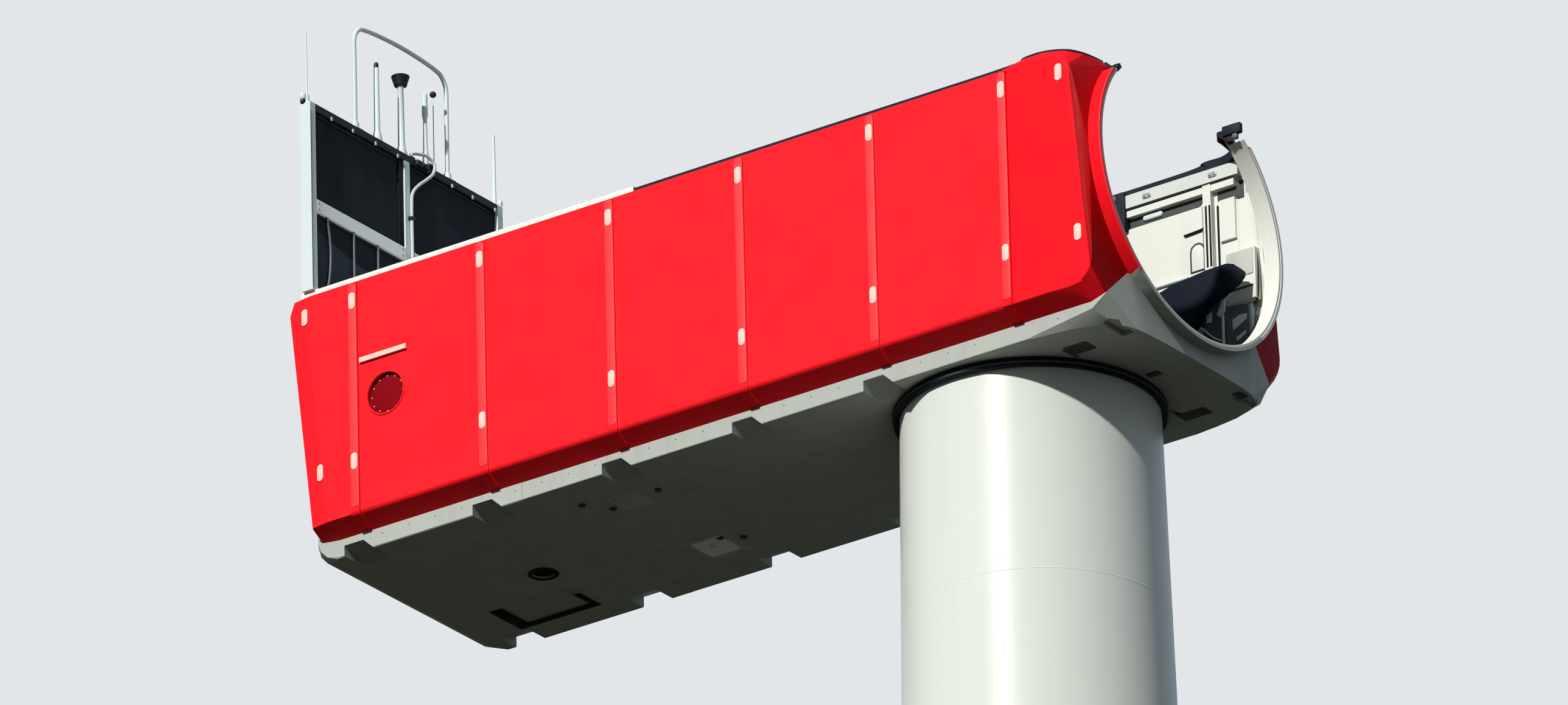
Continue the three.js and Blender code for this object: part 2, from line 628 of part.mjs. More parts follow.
// Rear wall, between the two rear corners
const rearWall = outerBlock.subtract(innerBlock)
  .intersect(box([FAR_BACK, -9000], [-HALF_WIDTH + WALL + TOUCH_GAP, HALF_WIDTH - WALL - TOUCH_GAP],
    [PAN_DEPTH + TOUCH_GAP, ROOF_Z]))
  .subtract(alongX(mirrored(sideOutline(TOUCH_GAP), 1), [FAR_BACK, 0]))
  .subtract(alongX(mirrored(sideOutline(TOUCH_GAP), -1), [FAR_BACK, 0]))
  .intersect(box([FAR_BACK, PAN_REAR_X + 250], [-FAR_OUT, FAR_OUT], [0, ROOF_Z]));
place(nacelle, 'rear_wall', rearWall, paint(RED, 0.35));

// Roof

const INNER_Y = HALF_WIDTH - WALL;
const roofSpan = (x0, x1) => box([x0, x1], [-INNER_Y, INNER_Y], [ROOF_Z - ROOF_THICKNESS, ROOF_Z]);
const deckEnd = REAR_X_HIGH + REAR_TOP_EDGE + 30;
const deckCorner = [100, 150];
const deckSide = HALF_WIDTH - DECK_INSET;
const deck = alongZ([
  [deckEnd, deckCorner[1] - deckSide],
  [deckEnd + deckCorner[0], -deckSide],
  [DECK_FRONT_X, -deckSide],
  [DECK_FRONT_X, deckSide],
  [deckEnd + deckCorner[0], deckSide],
  [deckEnd, deckSide - deckCorner[1]],
], [ROOF_Z + TOUCH_GAP, ROOF_Z + DECK_HEIGHT]);
place(nacelle, 'roof_rear', roofSpan(REAR_X_HIGH, DECK_FRONT_X).intersect(upperBlock(WALL + TOUCH_GAP))
  .add(deck)
  .add(box([deckEnd + 200, DECK_FRONT_X], [150 - INNER_Y, INNER_Y - 150], [ROOF_Z - 30, ROOF_Z + 30])),
paint(WHITE, 0.5));
place(nacelle, 'roof_middle', roofSpan(DECK_FRONT_X, ribX(3)), paint(WHITE, 0.5));
place(nacelle, 'roof_front', roofSpan(ribX(3), ROOF_OPEN_X), paint(WHITE, 0.5));

// Cooler frame on the rear end of the roof

const coolerFoot = ROOF_Z + DECK_HEIGHT;
const coolerX = [COOLER_X - COOLER_DEPTH / 2, COOLER_X + COOLER_DEPTH / 2];
const coreX = [COOLER_X - CORE_DEPTH / 2, COOLER_X + CORE_DEPTH / 2];
const railZ = COOLER_TOP_Z - COOLER_RAIL_HEIGHT;
const postY = COOLER_HALF_WIDTH - COOLER_POST / 2;
const beamZ = [COOLER_BEAM_Z - COOLER_BEAM_HEIGHT / 2, COOLER_BEAM_Z + COOLER_BEAM_HEIGHT / 2];
// The outer posts go up past the ends of the top rail, and the middle one stands under it.
const posts = [['right', -postY, COOLER_TOP_Z], ['centre', 0, railZ], ['left', postY, COOLER_TOP_Z]];
for (const [where, y, top] of posts) {
  place(nacelle, `cooler_post_${where}`, box(coolerX, [y - COOLER_POST / 2, y + COOLER_POST / 2],
    [coolerFoot, top]), paint(WHITE, 0.45));
}
for (const [hand, side] of SIDES) {
  const spanY = sideSpan(side, COOLER_POST / 2, postY - COOLER_POST / 2);
  place(nacelle, `cooler_beam_${hand}`, box([coreX[1] + TOUCH_GAP, coolerX[1]], spanY, beamZ),
    paint(WHITE, 0.45));
  place(nacelle, `cooler_core_${hand}`, box(coreX, spanY, [coolerFoot, railZ]), paint(CORE_DARK, 0.6, 0.2));
}
const railEnd = COOLER_HALF_WIDTH - COOLER_POST;
place(nacelle, 'cooler_top_rail', box(coolerX, [-railEnd, railEnd], [railZ, COOLER_TOP_Z]), paint(BLACK, 0.5));

// Sensors, hoop and rods on the top rail. Heights here are above the rail.

const onRail = (y, up, ahead = 0) => [COOLER_X + ahead, y, COOLER_TOP_Z + up];
const HOOP = { halfWidth: 1000, shoulder: 1330, top: 1520, middle: 1570, r: 30 };
const hoopPath = [
  [-HOOP.halfWidth, 0],
  [-HOOP.halfWidth, 600],
  [-HOOP.halfWidth, HOOP.shoulder],
  [-HOOP.halfWidth + 60, HOOP.shoulder + 120],
  [-HOOP.halfWidth + 190, HOOP.top],
  [0, HOOP.middle],
];
const hoopPoints = [...hoopPath, ...hoopPath.slice(0, -1).reverse().map(([y, up]) => [-y, up])];
place(nacelle, 'sensor_hoop', tube(hoopPoints.map(([y, up]) => onRail(y, up)), HOOP.r, 30), paint(WHITE, 0.4));

// A mast from [height, radius] pairs, one straight length after the other.
function mast(y, lengths) {
  return joined(lengths.map(
    ([low, high, r0, r1, steps = 10]) => bar(onRail(y, low), onRail(y, high), r0, r1, steps)));
}

const MAST_Y = 525;
place(nacelle, 'sensor_mast_tapered', mast(-MAST_Y, [[0, 150, 68, 44], [140, 1070, 40, 34]]),
  paint(WHITE, 0.4));
place(nacelle, 'wind_sensor_mast', mast(0, [[0, 130, 75, 48], [120, 1020, 48, 38], [1010, 1140, 80, 118, 16]]),
  paint(WHITE, 0.4));
place(nacelle, 'sensor_mast_thick_top', mast(MAST_Y, [[0, 260, 44, 38], [250, 720, 36, 26], [700, 790, 26, 40],
  [780, 1080, 40, 36]]), paint(WHITE, 0.4));
place(nacelle, 'ball_sensor', mast(710, [[0, 1110, 10, 10, 8], [1100, 1190, 44, 44, 12]]), paint(BLACK, 0.5));
place(nacelle, 'rod_left', mast(2030, [[0, 1050, 26, 18, 8]]), paint(WHITE, 0.4));
place(nacelle, 'rod_right', mast(-2040, [[0, 120, 40, 30], [110, 1040, 12, 8, 8]]), paint(WHITE, 0.4));

place(nacelle, 'sensor_cable', tube([
  onRail(165, TOUCH_GAP, 30),
  onRail(165, 50, 30),
  onRail(185, 90, 35),
  onRail(300, 125, 50),
  onRail(440, 130, 90),
  onRail(550, 40, 122),
  onRail(510, -100, 130),
  onRail(380, -230, 130),
  onRail(200, -380, 125),
  onRail(80, -520, 118),
  onRail(50, -700, 112),
  onRail(50, -1400, 112),
  onRail(50, -2100, 112),
  onRail(50, coolerFoot - COOLER_TOP_Z, 112),
], PIPE_R, 34), paint(0xb9bdb6, 0.5));

// Bedplate: a casting on the yaw ring, with two slender arms that reach forward to the ring

const seatZ = TOWER_ENTRY + YAW_RING_HEIGHT + TOUCH_GAP;
const BED = { thickness: 190, rOut: 1640, holeR: 1000, tailX: -3200, tailHalfWidth: 1150, beamTop: 780 };
const ARM = { y0: 1500, y1: 1680 };
const bedPlate = ringSolid(BED.holeR, BED.rOut, [seatZ, seatZ + BED.thickness])
  .add(box([BED.tailX, -900], [-BED.tailHalfWidth, BED.tailHalfWidth], [seatZ, seatZ + BED.thickness])
    .subtract(bar([0, 0, 0], [0, 0, 1000], BED.holeR + 100, BED.holeR + 100, ROUND_STEPS)));
const armOutline = [
  [-1600, seatZ],
  [500, seatZ],
  [900, 620],
  [1250, 1180],
  [1510, 1380],
  [1620, 1570],
  [1790, 1640],
  [1970, 1710],
  [2130, 1795],
  [2200, 1870],
  [2205, 1930],
  [2140, 2000],
  [2040, 2035],
  [1720, 2030],
  [1190, 1970],
  [860, 1885],
  [200, 1720],
  [-900, 900],
  [-1600, 620],
];
const arms = SIDES.map(([, side]) => alongY(armOutline, sideSpan(side, ARM.y0, ARM.y1)));
const crossMembers = [box([-1500, -1300], [-ARM.y0, ARM.y0], [seatZ, 620]),
  box([700, 900], [-ARM.y0, ARM.y0], [seatZ + 100, 700])];
// Brackets on the arms hold the side walls
const brackets = SIDES.flatMap(([, side]) => [-700, 400].map((x) => box([x, x + 160],
  sideSpan(side, ARM.y1 - 20, HALF_WIDTH - WALL - LINER.base - TOUCH_GAP), [900, 1050])));
place(nacelle, 'bedplate', joined([bedPlate, ...arms, ...crossMembers, ...brackets]),
  paint(DARK_CASTING, 0.5, 0.3));

// Rear frame: two girders that lie on the bedplate's tail, with cross members between them
const GIRDER = {
  y: 1150, width: 160, z0: seatZ + BED.thickness + TOUCH_GAP, z1: 780, x0: -9300, x1: BED.tailX + 450,
};
const girders = SIDES.map(([, side]) => box([GIRDER.x0, GIRDER.x1],
  [side * GIRDER.y - GIRDER.width / 2, side * GIRDER.y + GIRDER.width / 2], [GIRDER.z0, GIRDER.z1]));
const crossings = [-9200, -7300, -5400, -3500].map((x) => box([x, x + 160], [-GIRDER.y, GIRDER.y],
  [GIRDER.z0 + 60, GIRDER.z1 - 60]));
const feet = [-9200, -7300, -5400].flatMap((x) => SIDES.map(([, side]) => box([x, x + 160],
  [side * GIRDER.y - 60, side * GIRDER.y + 60], [PAN_FLOOR + TOUCH_GAP, GIRDER.z0 + 10])));
place(nacelle, 'rear_frame', joined([...girders, ...crossings, ...feet]), paint(DARK_CASTING, 0.5, 0.3));

// Inside of the side walls at the open front: a bolted top beam, a recessed band, a post and white panels,
// and a cream lining that follows the nose up to the front ring

const RECESS = [3190, 3390]; // heights of the recessed band
const POST_X = [1430, 1550];
const lining = upperBlock(WALL + TOUCH_GAP).subtract(upperBlock(WALL + LINER.skin))
  .intersect(box([1800, FAR_AHEAD], [-FAR_OUT, FAR_OUT], [700, 3690]))
  .subtract(ringCylinder(RING_R - RING_WALL + 2, -200, RING_DEPTH + 600));
for (const [hand, side] of SIDES) {
  const at = (depth0, depth1) => sideSpan(side, INNER_Y - depth1, INNER_Y - depth0);
  const liner = joined([
    box([LINER.x0, LINER.x1], at(TOUCH_GAP, LINER.base), [LINER.z0, ROOF_BEAM.z0]),
    box([LINER.x0, LINER.x1], at(LINER.base - 10, LINER.band), [RECESS[1] - 50, ROOF_BEAM.z0]),
    box([LINER.x0, 1380], at(LINER.base - 10, LINER.panel), [2080, RECESS[0]]),
    box([1640, 1880], at(LINER.base - 10, LINER.panel), [2620, RECESS[0]]),
    box(POST_X, at(LINER.base - 10, LINER.post), [600, ROOF_BEAM.z0 - 20]),
    lining.intersect(outwardOf(side, 0, 0))
      .subtract(box([ROOF_BEAM.x0, ROOF_BEAM.x1 + TOUCH_GAP], at(0, ROOF_BEAM.depth + TOUCH_GAP),
        [ROOF_BEAM.z0, COAMING_Z])),
  ]);
  place(nacelle, `wall_liner_${hand}`, liner, paint(CREAM, 0.5));
  const beam = box([ROOF_BEAM.x0, ROOF_BEAM.x1], at(TOUCH_GAP, ROOF_BEAM.depth),
    [ROOF_BEAM.z0 + TOUCH_GAP, ROOF_Z - 10]);
  place(nacelle, `roof_beam_${hand}`, beam.intersect(upperBlock(WALL + TOUCH_GAP)), paint(STEEL, 0.5, 0.5));
}

// A cabinet on the left wall, on a back plate
place(nacelle, 'wall_cabinet', joined([
  box([1780, 2230], [1860, 1970], [1650, 2360]),
  box([1790, 1890], [1960, INNER_Y - LINER.base - TOUCH_GAP], [1700, 2300]),
]), paint(WHITE, 0.5));

// Outside of the side walls near the rear: a round port, set back in the first panel, and a rail above it
for (const [hand, side] of SIDES) {
  const back = side * (HALF_WIDTH - WALL);
  const front = side * (HALF_WIDTH - PORT_SET_BACK);
  place(nacelle, `vent_port_${hand}`, bar([PORT_X, back, PORT_Z], [PORT_X, front, PORT_Z],
    PORT_R - TOUCH_GAP, PORT_R - TOUCH_GAP, 28), paint(0x7d0d18, 0.6));
  const halfLength = DRIP_RAIL[0] / 2;
  const halfHeight = DRIP_RAIL[1] / 2;
  place(nacelle, `drip_rail_${hand}`, box([PORT_X - 20 - halfLength, PORT_X - 20 + halfLength],
    sideSpan(side, HALF_WIDTH + TOUCH_GAP, HALF_WIDTH + DRIP_RAIL[2]),
    [DRIP_RAIL_Z - halfHeight, DRIP_RAIL_Z + halfHeight]), paint(WHITE, 0.5));
}

const part = new THREE.Group();
part.add(tower, nacelle);
export default part;
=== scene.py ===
import json
import math

import bmesh
import bpy
import numpy as np
from mathutils import Matrix, Vector

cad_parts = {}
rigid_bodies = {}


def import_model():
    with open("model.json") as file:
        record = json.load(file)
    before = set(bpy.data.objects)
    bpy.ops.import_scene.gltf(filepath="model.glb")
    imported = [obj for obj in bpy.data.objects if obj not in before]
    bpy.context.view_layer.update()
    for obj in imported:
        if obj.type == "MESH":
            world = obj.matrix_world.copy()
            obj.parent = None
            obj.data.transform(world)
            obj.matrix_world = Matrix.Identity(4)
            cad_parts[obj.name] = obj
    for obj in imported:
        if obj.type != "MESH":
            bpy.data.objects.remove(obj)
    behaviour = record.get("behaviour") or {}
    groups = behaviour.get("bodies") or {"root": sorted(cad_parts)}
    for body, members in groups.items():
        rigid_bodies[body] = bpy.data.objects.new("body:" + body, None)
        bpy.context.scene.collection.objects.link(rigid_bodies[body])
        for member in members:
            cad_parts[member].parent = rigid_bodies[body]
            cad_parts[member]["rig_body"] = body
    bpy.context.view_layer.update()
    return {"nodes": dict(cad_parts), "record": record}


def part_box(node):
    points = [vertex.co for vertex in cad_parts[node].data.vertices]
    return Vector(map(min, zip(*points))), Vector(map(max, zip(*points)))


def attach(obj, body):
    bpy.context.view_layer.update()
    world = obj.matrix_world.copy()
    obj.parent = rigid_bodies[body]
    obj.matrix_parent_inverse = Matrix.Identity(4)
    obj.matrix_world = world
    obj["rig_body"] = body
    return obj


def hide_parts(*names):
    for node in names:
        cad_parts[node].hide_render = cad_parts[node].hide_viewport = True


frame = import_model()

X, Y, Z = range(3)
UP, DOWN = (0, 0, 1), (0, 0, -1)
SIDES = (("right", -1), ("left", 1))


def span(node, axis):
    """How far a CAD node reaches along an axis, to the tenth of a millimetre: its lowest and highest
    coordinate there."""
    return tuple(round(corner[axis], 4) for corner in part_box(node))


def middle(node, axis):
    """The coordinate halfway through a CAD node along an axis."""
    return sum(span(node, axis)) / 2


# Metres. Places are given in the nacelle's own frame, whose zero is the flat underside on the yaw
# axis, and LIFT takes them to the frame of the CAD model.
LIFT = span("pan_rear", Z)[0]
PANEL_REAR, PANEL_FRONT = span("side_panel_left_1", X)
RIB_X = [PANEL_REAR + 0.07 + (PANEL_FRONT - PANEL_REAR) * i for i in range(6)]  # the raised joint strips
RIB_FACE = span("side_panel_left_1", Y)[1]
ROOF_Z = span("roof_front", Z)[1] - LIFT
DECK_Z = span("roof_rear", Z)[1] - LIFT
DECK_FRONT = span("roof_rear", X)[1]
CHAMFER_TOP = 0.413
RAIL_FOOT, RAIL_TOP = (z - LIFT for z in span("cooler_top_rail", Z))
RAIL_FACE = span("cooler_top_rail", X)[1]
MAST_X = middle("cooler_top_rail", X)


# Surfaces. Each returns (points, faces): an (n, 3) array and a list of corner numbers.

def grid_faces(nu, nv, wrap_u=False, wrap_v=False):
    """Quads between neighbours on a grid of nu by nv points, numbered row by row."""
    i = np.arange(nu if wrap_u else nu - 1)
    j = np.arange(nv if wrap_v else nv - 1)
    i, j = (a.ravel() for a in np.meshgrid(i, j, indexing="ij"))
    i1, j1 = (i + 1) % nu, (j + 1) % nv
    return np.stack([i * nv + j, i1 * nv + j, i1 * nv + j1, i * nv + j1], 1).tolist()


def tube_faces(rings, n):
    """Quads between rings of n points each, and one flat face over each end."""
    ends = [list(range(n))[::-1], list(range((rings - 1) * n, rings * n))]
    return grid_faces(rings, n, wrap_v=True) + ends


def unit(rows):
    """Each row of an array divided by its own length."""
    return rows / np.maximum(np.linalg.norm(rows, axis=1), 1e-9)[:, None]


def angles(count):
    """Angles evenly spaced round a full turn, from zero."""
    return np.linspace(0, 2 * np.pi, count, endpoint=False)


def turned(profile, centre=(0, 0, 0), axis=UP, steps=32):
    """A profile of (radius, height) pairs turned about an axis: each pair makes a circle of that radius
    at that height along the axis."""
    profile = np.asarray(profile, float)
    axis = Vector(axis).normalized()
    side = axis.orthogonal().normalized()
    t = angles(steps)
    ring = np.outer(np.cos(t), side) + np.outer(np.sin(t), axis.cross(side))
    points = profile[:, None, :1] * ring[None] + profile[:, None, 1:] * np.array(axis)
    return points.reshape(-1, 3) + np.array(centre), grid_faces(len(profile), steps, wrap_v=True)


def turned_ring(profile, centre=(0, 0, 0), axis=UP, steps=96):
    """A closed profile turned about an axis: a ring with no ends."""
    points, _ = turned(profile, centre, axis, steps)
    return points, grid_faces(len(profile), steps, wrap_u=True, wrap_v=True)


def smooth_path(points, per=8):
    """Points of a smooth curve through the given ones: each span is the cubic through its two ends whose
    slope at an end is half the step between that end's neighbours."""
    p = np.asarray(points, float)
    p = np.vstack([2 * p[0] - p[1], p, 2 * p[-1] - p[-2]])
    t = np.linspace(0, 1, per, endpoint=False)[:, None]
    spans = [0.5 * (2 * b + (c - a) * t + (2 * a - 5 * b + 4 * c - d) * t ** 2
                    + (3 * b - a - 3 * c + d) * t ** 3)
             for a, b, c, d in zip(p, p[1:], p[2:], p[3:])]
    return np.vstack([*spans, p[-2:-1]])


def carried(outline, path):
    """A closed outline of (a, b) pairs carried along a path: a lies across the path and is level at its
    start where that can be, and b lies square to both. From point to point the outline leans only as far
    as the path does. The ends are closed with flat faces."""
    path = np.asarray(path, float)
    outline = np.asarray(outline, float)
    along = unit(np.gradient(path, axis=0))
    across = np.zeros_like(along)
    side = np.cross(along[0], (0, 0, 1) if abs(along[0][2]) < 0.9 else (1, 0, 0))
    for k, direction in enumerate(along):
        side = side - direction * (side @ direction)
        side /= np.linalg.norm(side)
        across[k] = side
    up = np.cross(across, along)
    points = path[:, None] + outline[None, :, :1] * across[:, None] + outline[None, :, 1:] * up[:, None]
    return points.reshape(-1, 3), tube_faces(len(path), len(outline))


def circle(r, steps=12):
    """Points of a circle: r times the cosine and the sine of evenly spaced angles."""
    t = angles(steps)
    return np.stack([r * np.cos(t), r * np.sin(t)], 1)


def rounded(width, height, r, steps=4):
    """The outline of a rectangle with round corners, about its own middle: a quarter circle of radius r
    about each of the four corner centres."""
    a = np.linspace(0, np.pi / 2, steps + 1) + np.arange(4)[:, None] * np.pi / 2
    centres = np.array([(1, 1), (-1, 1), (-1, -1), (1, -1)]) * (width / 2 - r, height / 2 - r)
    return (centres[:, None] + r * np.stack([np.cos(a), np.sin(a)], -1)).reshape(-1, 2)


def plate(outline, base, across, up, thick, edge=0.004):
    """A plate on a surface: the outline lies at base in the plane of across and up, rises by thick along
    their normal, and its rim turns in over an edge of quarter-round section."""
    outline, base, across, up = (np.asarray(a, float) for a in (outline, base, across, up))
    step = np.roll(outline, -1, 0) - outline
    normal = unit(np.stack([step[:, 1], -step[:, 0]], 1))
    normal = unit(normal + np.roll(normal, 1, 0))
    edge = min(edge, abs(thick) * 0.9)
    turn = np.linspace(0, np.pi / 2, 4)
    inset = np.append(0, -edge * (1 - np.cos(turn)))[:, None, None]
    height = np.append(0, thick - edge * (1 - np.sin(turn)))[:, None, None]
    flat = outline + normal * inset
    points = base + flat[..., :1] * across + flat[..., 1:] * up + height * np.cross(across, up)
    return points.reshape(-1, 3), tube_faces(len(inset), len(outline))


def block(low, high, edge=0.006):
    """A block between two corners: the outline of its plan, narrower near its lower and upper face so
    that their rims are rounded."""
    low, high = np.array(low, float), np.array(high, float)
    size = high - low
    r = min(edge, size.min() * 0.3)
    inset = r * np.array([-1, -0.3, 0, 0, -0.3, -1])
    height = low[2] + np.array([0, r * 0.3, r, size[2] - r, size[2] - r * 0.3, size[2]])
    scale = (size[:2] + 2 * inset[:, None]) / size[:2]
    flat = (low + high)[:2] / 2 + rounded(size[0], size[1], r, 2) * scale[:, None]
    height = np.broadcast_to(height[:, None, None], (*flat.shape[:2], 1))
    return np.concatenate([flat, height], 2).reshape(-1, 3), tube_faces(len(inset), flat.shape[1])


def on_side(outline, x, z, face, facing, thick, edge=0.004):
    """A plate on an upright face at Y = face that looks along -Y or +Y; its outline is in X and Z."""
    outline = np.asarray(outline, float)
    if facing > 0:
        outline = outline[::-1] * (-1, 1)
    return plate(outline, (x, face, z), (-facing, 0, 0), UP, thick, edge)


def on_underside(outline, x, y, thick):
    """A plate that hangs under the flat underside; its outline is in X and Y."""
    outline = np.asarray(outline, float)[::-1] * (1, -1)
    return plate(outline, (x, y, 0), (1, 0, 0), (0, -1, 0), thick, 0.003)


def rod(points, r, sides=12, per=8):
    """A round bar: a circle carried along a smooth path."""
    return carried(circle(r, sides), smooth_path(points, per))


def bolt(centre, axis, r=0.018, height=0.014):
    """A hexagon head on a washer: two short turned steps, the upper one with six sides."""
    washer = turned([(0, 0), (r * 1.5, 0), (r * 1.5, height * 0.25), (0, height * 0.25)], centre, axis, 12)
    head = turned([(0, 0), (r, 0), (r, height * 0.85), (r * 0.8, height), (0, height)], centre, axis, 6)
    return [washer, head]


# Objects

def put(name, parts, look, slot, body="nacelle", angle=35, at=(0, 0, LIFT)):
    """One object from several surfaces, whose places are counted from at."""
    mesh = bpy.data.meshes.new(name)
    points, faces, first = [], [], 0
    for some_points, some_faces in parts:
        points.append(np.asarray(some_points) + np.array(at))
        faces += [[first + k for k in face] for face in some_faces]
        first += len(some_points)
    mesh.from_pydata(np.vstack(points).tolist(), [], faces)
    return settle(name, mesh, look, body, angle)


def stand_in(node, parts, look, slot, **more):
    """An object made here that stands for a CAD node."""
    piece = put(node + "_finish", parts, look, slot, **more)
    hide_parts(node)


def settle(name, mesh, look, body, angle):
    """An object that rides on a body, from a mesh whose doubles are merged, whose faces are turned outward
    and whose edges are soft below an angle."""
    work = bmesh.new()
    work.from_mesh(mesh)
    bmesh.ops.remove_doubles(work, verts=work.verts, dist=1e-5)
    bmesh.ops.dissolve_degenerate(work, dist=1e-6, edges=work.edges)
    bmesh.ops.recalc_face_normals(work, faces=work.faces)
    work.to_mesh(mesh)
    work.free()
    mesh.polygons.foreach_set("use_smooth", [True] * len(mesh.polygons))
    mesh.set_sharp_from_angle(angle=math.radians(angle))
    piece = bpy.data.objects.new(name, mesh)
    bpy.context.scene.collection.objects.link(piece)
    mesh.materials.append(look)
    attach(piece, body)
    return piece


def turn_in(piece):
    """Rounds the long edge where the flat side turns in to the chamfer, more than the others."""
    mesh = piece.data
    low = [abs(v.co.z - LIFT - CHAMFER_TOP) < 0.03 for v in mesh.vertices]
    weight = mesh.attributes.new("bevel_weight_edge", "FLOAT", "EDGE")
    weight.data.foreach_set("value", [float(all(low[v] for v in edge.vertices)) for edge in mesh.edges])
    turn = piece.modifiers.new("turn_in", "BEVEL")
    turn.width = 0.035
    turn.segments = 6
    turn.limit_method = "WEIGHT"


def dressed(node, look, slot, edge):
    """A copy of a CAD solid with its sharp edges rounded over a width of edge, which stands for it."""
    sharp = 32
    mesh = NODES[node].data.copy()
    mesh.materials.clear()
    whole = bmesh.new()
    whole.from_mesh(mesh)
    bmesh.ops.remove_doubles(whole, verts=whole.verts, dist=1e-5)
    bmesh.ops.dissolve_limit(whole, angle_limit=math.radians(0.4), verts=whole.verts, edges=whole.edges)
    whole.to_mesh(mesh)
    whole.free()
    piece = settle(node + "_finish", mesh, look, NODES[node]["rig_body"], sharp)
    if slot == "red_shell":
        turn_in(piece)
    if edge:
        soft = piece.modifiers.new("edges", "BEVEL")
        soft.width = edge
        soft.segments = 3
        soft.limit_method = "ANGLE"
        soft.angle_limit = math.radians(sharp)
        soft.use_clamp_overlap = True
        flat = piece.modifiers.new("flat_faces", "WEIGHTED_NORMAL")
        flat.keep_sharp = True
        flat.weight = 80
    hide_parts(node)


# Materials

MIX_UNDER, MIX_OVER, MIX_OUT = 6, 7, 2  # the colour sockets of a Mix node


def srgb(r, g, b):
    """Display colour from 0 to 255 turned into light."""
    c = np.array([r, g, b]) / 255
    return (*np.where(c <= 0.04045, c / 12.92, ((c + 0.055) / 1.055) ** 2.4), 1.0)


class Wiring:
    """The nodes of a material or of the world, and short ways to add to them."""

    def __init__(self, tree):
        self.nodes = tree.nodes
        self.links = tree.links

    def add(self, kind, inputs, **choices):
        """A node of a kind: an input is linked where another node's output is given for it, else set."""
        node = self.nodes.new("ShaderNode" + kind)
        for choice, value in choices.items():
            setattr(node, choice, value)
        for name, value in inputs.items():
            if isinstance(value, bpy.types.NodeSocket):
                self.links.new(value, node.inputs[name])
            else:
                node.inputs[name].default_value = value
        return node

    def spread(self, value, low, high, to_low=0.0, to_high=1.0):
        """A value between low and high brought in proportion to the span from to_low to to_high."""
        span = {"Value": value, "From Min": low, "From Max": high, "To Min": to_low, "To Max": to_high}
        return self.add("MapRange", span).outputs["Result"]

    def along(self, place, direction):
        """How far a place lies along a direction from zero."""
        return self.add("VectorMath", {0: place, 1: direction}, operation="DOT_PRODUCT").outputs["Value"]

    def mixed(self, amount, under, over):
        """One colour laid over another by an amount."""
        colours = {0: amount, MIX_UNDER: under, MIX_OVER: over}
        return self.add("Mix", colours, data_type="RGBA").outputs[MIX_OUT]


class Look(Wiring):
    """A material whose colour, roughness and small relief come from noise on Object coordinates."""

    def __init__(self, name, colour, rough, metal=0.0, sheen=0.5):
        self.mat = bpy.data.materials.new(name)
        self.mat.use_nodes = True
        super().__init__(self.mat.node_tree)
        self.shader = self.nodes["Principled BSDF"]
        self.shader.inputs["Metallic"].default_value = metal
        self.shader.inputs["Specular IOR Level"].default_value = sheen
        self.where = self.add("TexCoord", {}).outputs["Object"]
        self.colour = colour
        self.rough = rough
        self.normal = None

    def noise(self, scale, stretch=(1, 1, 1), detail=4.0, seed=(0, 0, 0)):
        """Noise with a scale in lumps to the metre, more to the metre along an axis that is stretched
        above 1, and moved along by seed."""
        place = self.add("Mapping", {"Vector": self.where, "Scale": stretch, "Location": seed}).outputs[0]
        return self.add("TexNoise", {"Vector": place, "Scale": scale, "Detail": detail}).outputs["Fac"]

    def blend(self, colour, amount):
        """Lays a colour over the colour so far, by an amount from the nodes."""
        self.colour = self.mixed(amount, self.colour, colour)

    def relief(self, height, depth, strength):
        """Adds small relief to the relief so far."""
        bump = {"Height": height, "Distance": depth, "Strength": strength}
        if self.normal:
            bump["Normal"] = self.normal
        self.normal = self.add("Bump", bump).outputs["Normal"]

    def done(self, rough_spread):
        """The material, with a roughness that wanders by rough_spread to both sides."""
        patchy = self.spread(self.noise(2.3, seed=(3, 1, 7)), 0.3, 0.7,
                             self.rough - rough_spread, self.rough + rough_spread)
        self.links.new(self.colour, self.shader.inputs["Base Color"])
        self.links.new(patchy, self.shader.inputs["Roughness"])
        if self.normal:
            self.links.new(self.normal, self.shader.inputs["Normal"])
        return self.mat


def weathered(name, tones, rough, metal=0.0, streak=0.35, patch=0.35, orange=0.0004, sheen=0.5,
              rough_spread=0.08, band=None):
    """Paint or gelcoat in three tones: wide patches of the second, thin streaks of the third that run
    down, and a fine skin. A band of another tone may lie across it, from one plane to another; a plane
    is an axis and how far along it the plane lies."""
    colour, shade, grime = (srgb(*tone) for tone in tones)
    look = Look(name, colour, rough, metal, sheen)
    look.blend(shade, look.spread(look.noise(0.45, detail=3), 0.35, 0.75, 0.0, patch))
    look.blend(grime, look.spread(look.noise(1.4, (2.2, 2.2, 0.16), 5, (5, 2, 0)), 0.52, 0.78, 0.0, streak))
    look.blend(grime, look.spread(look.noise(14.0, (1, 1, 0.6), 6, (1, 8, 4)), 0.6, 0.85, 0.0, streak * 0.5))
    # The band is painted shade: a deeper tone laid where a surface faces away from the key light.
    if band:
        (from_axis, start), (to_axis, end), tone = band
        plain = look.colour
        look.blend(srgb(*tone), look.spread(look.along(look.where, from_axis), start - 0.006, start + 0.006))
        past = look.spread(look.along(look.where, to_axis), end - 0.002, end + 0.002)
        look.blend(plain, past)
    look.relief(look.noise(220.0, detail=2), orange, 0.35)
    look.relief(look.noise(1.1, detail=2, seed=(9, 4, 2)), 0.012, 0.12)
    return look.done(rough_spread)


NODES = frame["nodes"]
